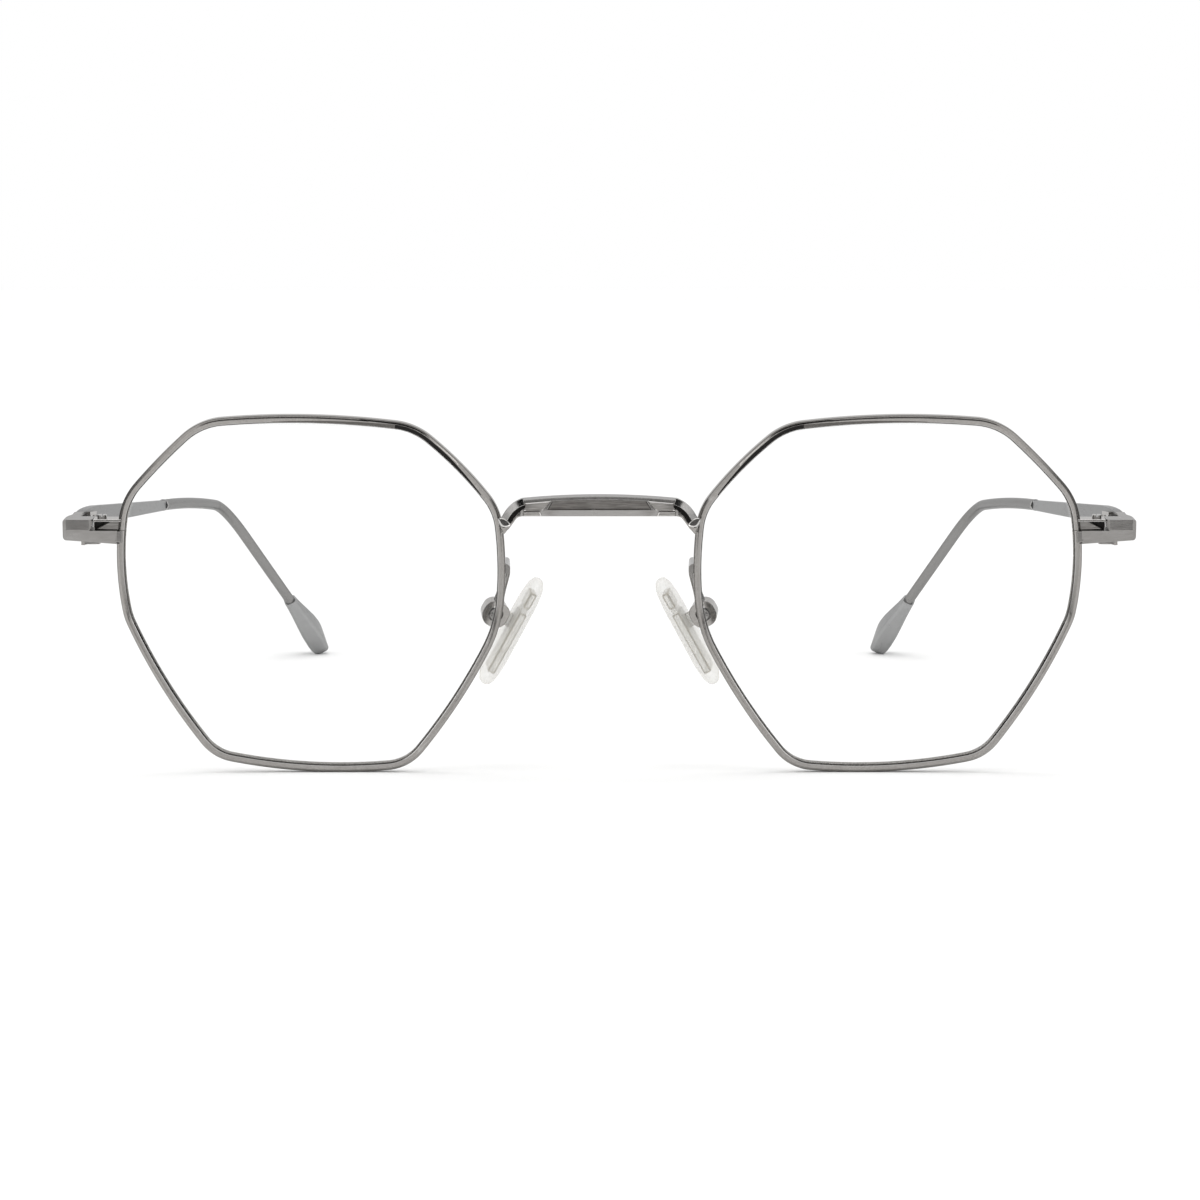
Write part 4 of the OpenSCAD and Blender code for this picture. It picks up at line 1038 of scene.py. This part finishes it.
def makeRod(side):
    t = temple
    first, second, legs = rodPath()
    gap, radius, count = t["jointGap"], t["rodRadius"], t["rodCount"]
    cut, run = t["rodChamfer"]
    head = first[0] @ moved(0, gap, 0)
    path = [head, head @ moved(0, run, 0)] + first[1:] + second[1:] + legs
    radii = [radius - cut] + [radius] * (len(path) - 1)
    node = "temple_rod_" + side
    rod = addPiece("templeRod", tube(path, radii, count), asDrawn, ["rodMetal"], node, side,
                   sharp=t["rodSharp"])
    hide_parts(node)
    # the neck and the rod's mouth are painted in shade, the ring with a painted highlight
    shape = shortTube(first[0], 0.0, 0.0, t["neck"], t["neckCount"])
    addPiece("templeNeck", shape, asDrawn, ["paintedShadeMetal"], "temple_blade_" + side, side)
    for name, stations, look in (("rodMouthShade", t["mouth"], "paintedShadeMetal"), ("rodRing", t["ring"], "steelAndPaintedGlint")):
        shape = shortTube(first[0], gap, radius, stations, count)
        addPiece(name, shape, asDrawn, [look], node, side)


tipShape = {
    "length": 14.2, "radius": 2.7, "thick": 1.9, "collar": 0.92, "swell": 0.55, "swellBias": 1.65,
    # the edge's bevel, its most as a share of the half width, and where its middle lies
    "bevel": 0.5, "bevelMost": 0.6, "bevelMiddle": (0.4, 0.3),
    "along": (0.0, 0.35, 1.2, 3.0, 5.5, 8.0, 10.2), "endSteps": 12, "sharp": 25.0, "soft": 0.12,
}


def makeTip(side):
    t = tipShape
    radius = t["radius"]
    centre = t["length"] - radius
    rows = [(y, t["collar"] + (radius - t["collar"]) * (y / centre)) for y in t["along"] + (centre,)]
    for n in range(1, t["endSteps"]):
        a = math.radians(90 * n / t["endSteps"])
        rows.append((centre + radius * math.sin(a), radius * math.cos(a)))
    points = []
    for y, wide in rows:
        half = t["thick"] / 2 + t["swell"] * math.sin(math.pi * (y / t["length"]) ** t["swellBias"])
        bevel = min(t["bevel"], wide * t["bevelMost"])
        inX, inZ = bevel * t["bevelMiddle"][0], bevel * t["bevelMiddle"][1]
        ring = [
            (half, wide - bevel), (half, 0.0), (half, -wide + bevel), (half - inX, -wide + inZ),
            (half - bevel, -wide), (-half + bevel, -wide), (-half + inX, -wide + inZ),
            (-half, -wide + bevel), (-half, 0.0), (-half, wide - bevel),
            (-half + bevel, wide), (half - bevel, wide),
        ]
        points += [(x, y, z) for x, z in ring]
    shape = points, ringFaces(len(rows), len(ring))
    node = "temple_tip_" + side
    tip = addPiece("templeTip", shape, rodPath()[2][-1], ["bladeMetal"], node, side,
                   t["sharp"])
    soften(tip, t["soft"], 3, t["sharp"])
    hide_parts(node)


for side in sides:
    makeRod(side)
    makeTip(side)
print("temples are made")

# nose pads

padPlace = {
    "boxX": 13.5, "boxY": 7.2, "boxUp": -3.6, "tilt": 29.0, "splay": 7.0,
    "reach": 3.1, "below": 1.2,      # from the box to the pad's middle
}
boxSpot = (padPlace["boxX"], padPlace["boxY"], stance["eyeZ"] + padPlace["boxUp"])
padTilt, padSplay = turned("Y", -padPlace["tilt"]), turned("Z", 90 - padPlace["splay"])
atBox = atFront @ moved(*boxSpot) @ padTilt @ padSplay
atPad = atBox @ moved(0, padPlace["reach"], -padPlace["below"])

padShape = {
    # the upper end's radius is a share of the width
    "length": 15.4, "width": 7.8, "upper": 0.42, "thick": 1.8, "square": 0.78, "steps": 24, "sharp": 60.0,
    # share of the outline, and of the half thickness there
    "profile": ((0.25, 1.0), (0.5, 0.99), (0.7, 0.97), (0.84, 0.92), (0.93, 0.8), (0.98, 0.56), (1.0, 0.2)),
    # hard blocks inside the pad: lower and upper height, half width, half thickness
    "blocks": ((-5.8, 3.0, 1.9, 0.52), (3.7, 5.9, 1.6, 0.46)), "blockSoft": 0.2,
}


def makePad(side):
    # a plump teardrop, thicker in the middle
    p = padShape
    low, high = p["width"] / 2, p["width"] * p["upper"]
    lowZ, highZ = -p["length"] / 2 + low, p["length"] / 2 - high
    lean = math.asin((low - high) / (highZ - lowZ))
    outline = []
    for radius, up, first, sweep in ((low, lowZ, math.pi - lean, math.pi + 2 * lean),
                                     (high, highZ, lean, math.pi - 2 * lean)):
        for n in range(p["steps"] + 1):
            a = first + sweep * n / p["steps"]
            outline.append((radius * squarer(math.cos(a), p["square"]), up + radius * math.sin(a)))
    rows = [(s, -h) for s, h in p["profile"]] + [(s, h) for s, h in reversed(p["profile"])]
    points = [(x * s, h * p["thick"] / 2, z * s) for s, h in rows for x, z in outline]
    shape = points, ringFaces(len(rows), len(outline))
    node = "nose_pad_" + side
    pad = addPiece("nosePad", shape, atPad, ["padSilicone"], node, side, p["sharp"])
    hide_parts(node)


def makeCore(side):
    # the hard blocks, with beige lines along their edges
    for k, (low, high, halfWide, halfThick) in enumerate(padShape["blocks"]):
        shape = slab(oblong(-halfWide, halfWide, low, high), -halfThick, halfThick)
        core = addPiece("padCoreBlock", shape, atPad, ["padCore"], "pad_core_" + side, side,
                        number=str(k))
        soften(core, padShape["blockSoft"], look="padLine")


cup = {
    # the wall round the pad box's open side, which faces along -x, as a rounded square that narrows to its foot
    "face": -1.21, "half": 1.68, "wall": 0.82, "rise": 0.42, "round": 0.06, "shoulder": 0.8,
    "square": 0.7, "narrow": 0.22, "outerRoot": 0.3, "innerRoot": 0.1, "count": 32,
    "floorRise": 0.03, "floorCount": 20,
    # the flat above the screw, with a painted reflection
    "flat": [(-0.72, 0.74), (0.3, 0.74), (0.3, 1.34), (-0.56, 1.34)],
    "flatProud": 0.02, "flatThick": 0.2, "flatSoft": 0.05,
    # the lines of thread on the screw, painted in shade: heights, half length, thickness, and the screw's face
    "thread": (0.34, 0.02, -0.30), "threadHalf": 0.52, "threadThick": 0.10, "screwFace": -1.555,
    "threadProud": 0.02, "threadRoot": 0.1,
}


def makeCup(side):
    k = cup
    node = "pad_box_" + side
    face, half, hole, rise, count = k["face"], k["half"], k["half"] - k["wall"], k["rise"], k["count"]
    shoulder = face - rise * k["shoulder"]
    points = []
    for out, x in ((half, face + k["outerRoot"]), (half, shoulder), (half - k["round"], face - rise),
                   (hole + k["round"], face - rise), (hole, shoulder), (hole, face + k["innerRoot"])):
        for c, d in circlePoints(1.0, count):
            narrowed = 1.0 if d > 0 else 1.0 - k["narrow"] * d * d
            points.append((x, squarer(c, k["square"]) * out * narrowed, squarer(d, k["square"]) * out))
    faces = ringFaces(6, count, caps=False)
    # the wall's inner side gets painted shade
    paint = [int(n >= 4 * count) for n in range(len(faces))]      # the wall's inner side is dark
    addPiece("padCup", (points, faces), atBox, ["gunmetal", "paintedShadeLineMetal"], node, side,
             paint=paint)
    # the cup's floor is painted in shade, and the flat above the screw with a painted reflection
    shape = slab(circlePoints(hole, k["floorCount"]), face + k["innerRoot"], face - k["floorRise"], True)
    addPiece("padCupFloor", shape, atBox, ["paintedShadeLineMetal"], node, side)
    level = face - rise - k["flatProud"]
    shape = slab(k["flat"], level + k["flatThick"], level, True)
    flat = addPiece("padCupGlint", shape, atBox, ["paintedHighlightMetal"], node, side)
    soften(flat, k["flatSoft"])


def makeThread(side):
    k = cup
    half, thick, screwFace = k["threadHalf"], k["threadThick"] / 2, k["screwFace"]
    points, faces = [], []
    for up in k["thread"]:
        outline = oblong(-half, half, up - thick, up + thick)
        corners, quads = slab(outline, screwFace + k["threadRoot"], screwFace - k["threadProud"], True)
        faces += [tuple(len(points) + v for v in quad) for quad in quads]
        points += corners
    # the thread's lines are painted in shade
    addPiece("padThread", (points, faces), atBox, ["paintedShadeLineMetal"], "pad_screw_" + side, side)


padArm = {
    # where it leaves the rim, where it meets the box, and the radii of its two turns
    "foot": (11.91, 26.359), "meets": (0, -0.25, 1.4), "turn": 1.7, "secondTurn": 2.0,
    "radius": 0.44, "rootRadii": (0.62, 0.52), "endRadii": (0.52, 0.68), "root": (-0.3, 1.0),
    "steps": 14, "secondSteps": 10, "count": 24, "sharp": 50.0,
}


def makeArm(side):
    p = padArm
    meets = padTilt @ padSplay @ Vector(p["meets"]) + Vector(boxSpot)
    footX, footZ = p["foot"]
    back = meets.y - p["turn"]
    drop = footZ - p["turn"] - meets.z
    slide = meets.x - footX
    r = p["secondTurn"]
    angle = 2 * math.atan2(drop - math.sqrt(drop ** 2 - slide * (2 * r - slide)), 2 * r - slide)
    run = (drop - r * math.sin(angle)) / math.cos(angle)
    start = atFront @ moved(footX, 0, footZ)
    path = [start @ moved(0, y, 0) for y in p["root"] + (back,)]
    path += bend(path[-1], p["turn"], 90.0, p["steps"])[1:]
    path += bend(path[-1] @ turned("Y", -90), r, math.degrees(angle), p["secondSteps"])[1:]
    path += [path[-1] @ moved(0, run * share, 0) for share in (0.5, 1.0)]
    plain = len(path) - len(p["rootRadii"]) - len(p["endRadii"])
    radii = list(p["rootRadii"]) + [p["radius"]] * plain + list(p["endRadii"])
    # the frames swap axes at the second bend, so rings are rebuilt from the path's own direction
    points = []
    for n, spot in enumerate(path):
        ahead, behind = path[min(n + 1, len(path) - 1)], path[max(n - 1, 0)]
        along = (ahead.translation - behind.translation).normalized()
        across = Vector((1, 0, 0)).cross(along).normalized()
        third = along.cross(across)
        for x, z in circlePoints(radii[n], p["count"]):
            points.append(spot.translation + across * x + third * z)
    node = "pad_arm_" + side
    arm = addPiece("padArm", (points, ringFaces(len(path), p["count"])), asDrawn, ["wireMetal"],
                   node, side, sharp=p["sharp"])
    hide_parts(node)


for side in sides:
    makePad(side)
    makeCore(side)
    makeCup(side)
    makeThread(side)
    makeArm(side)
print("nose pads are made")
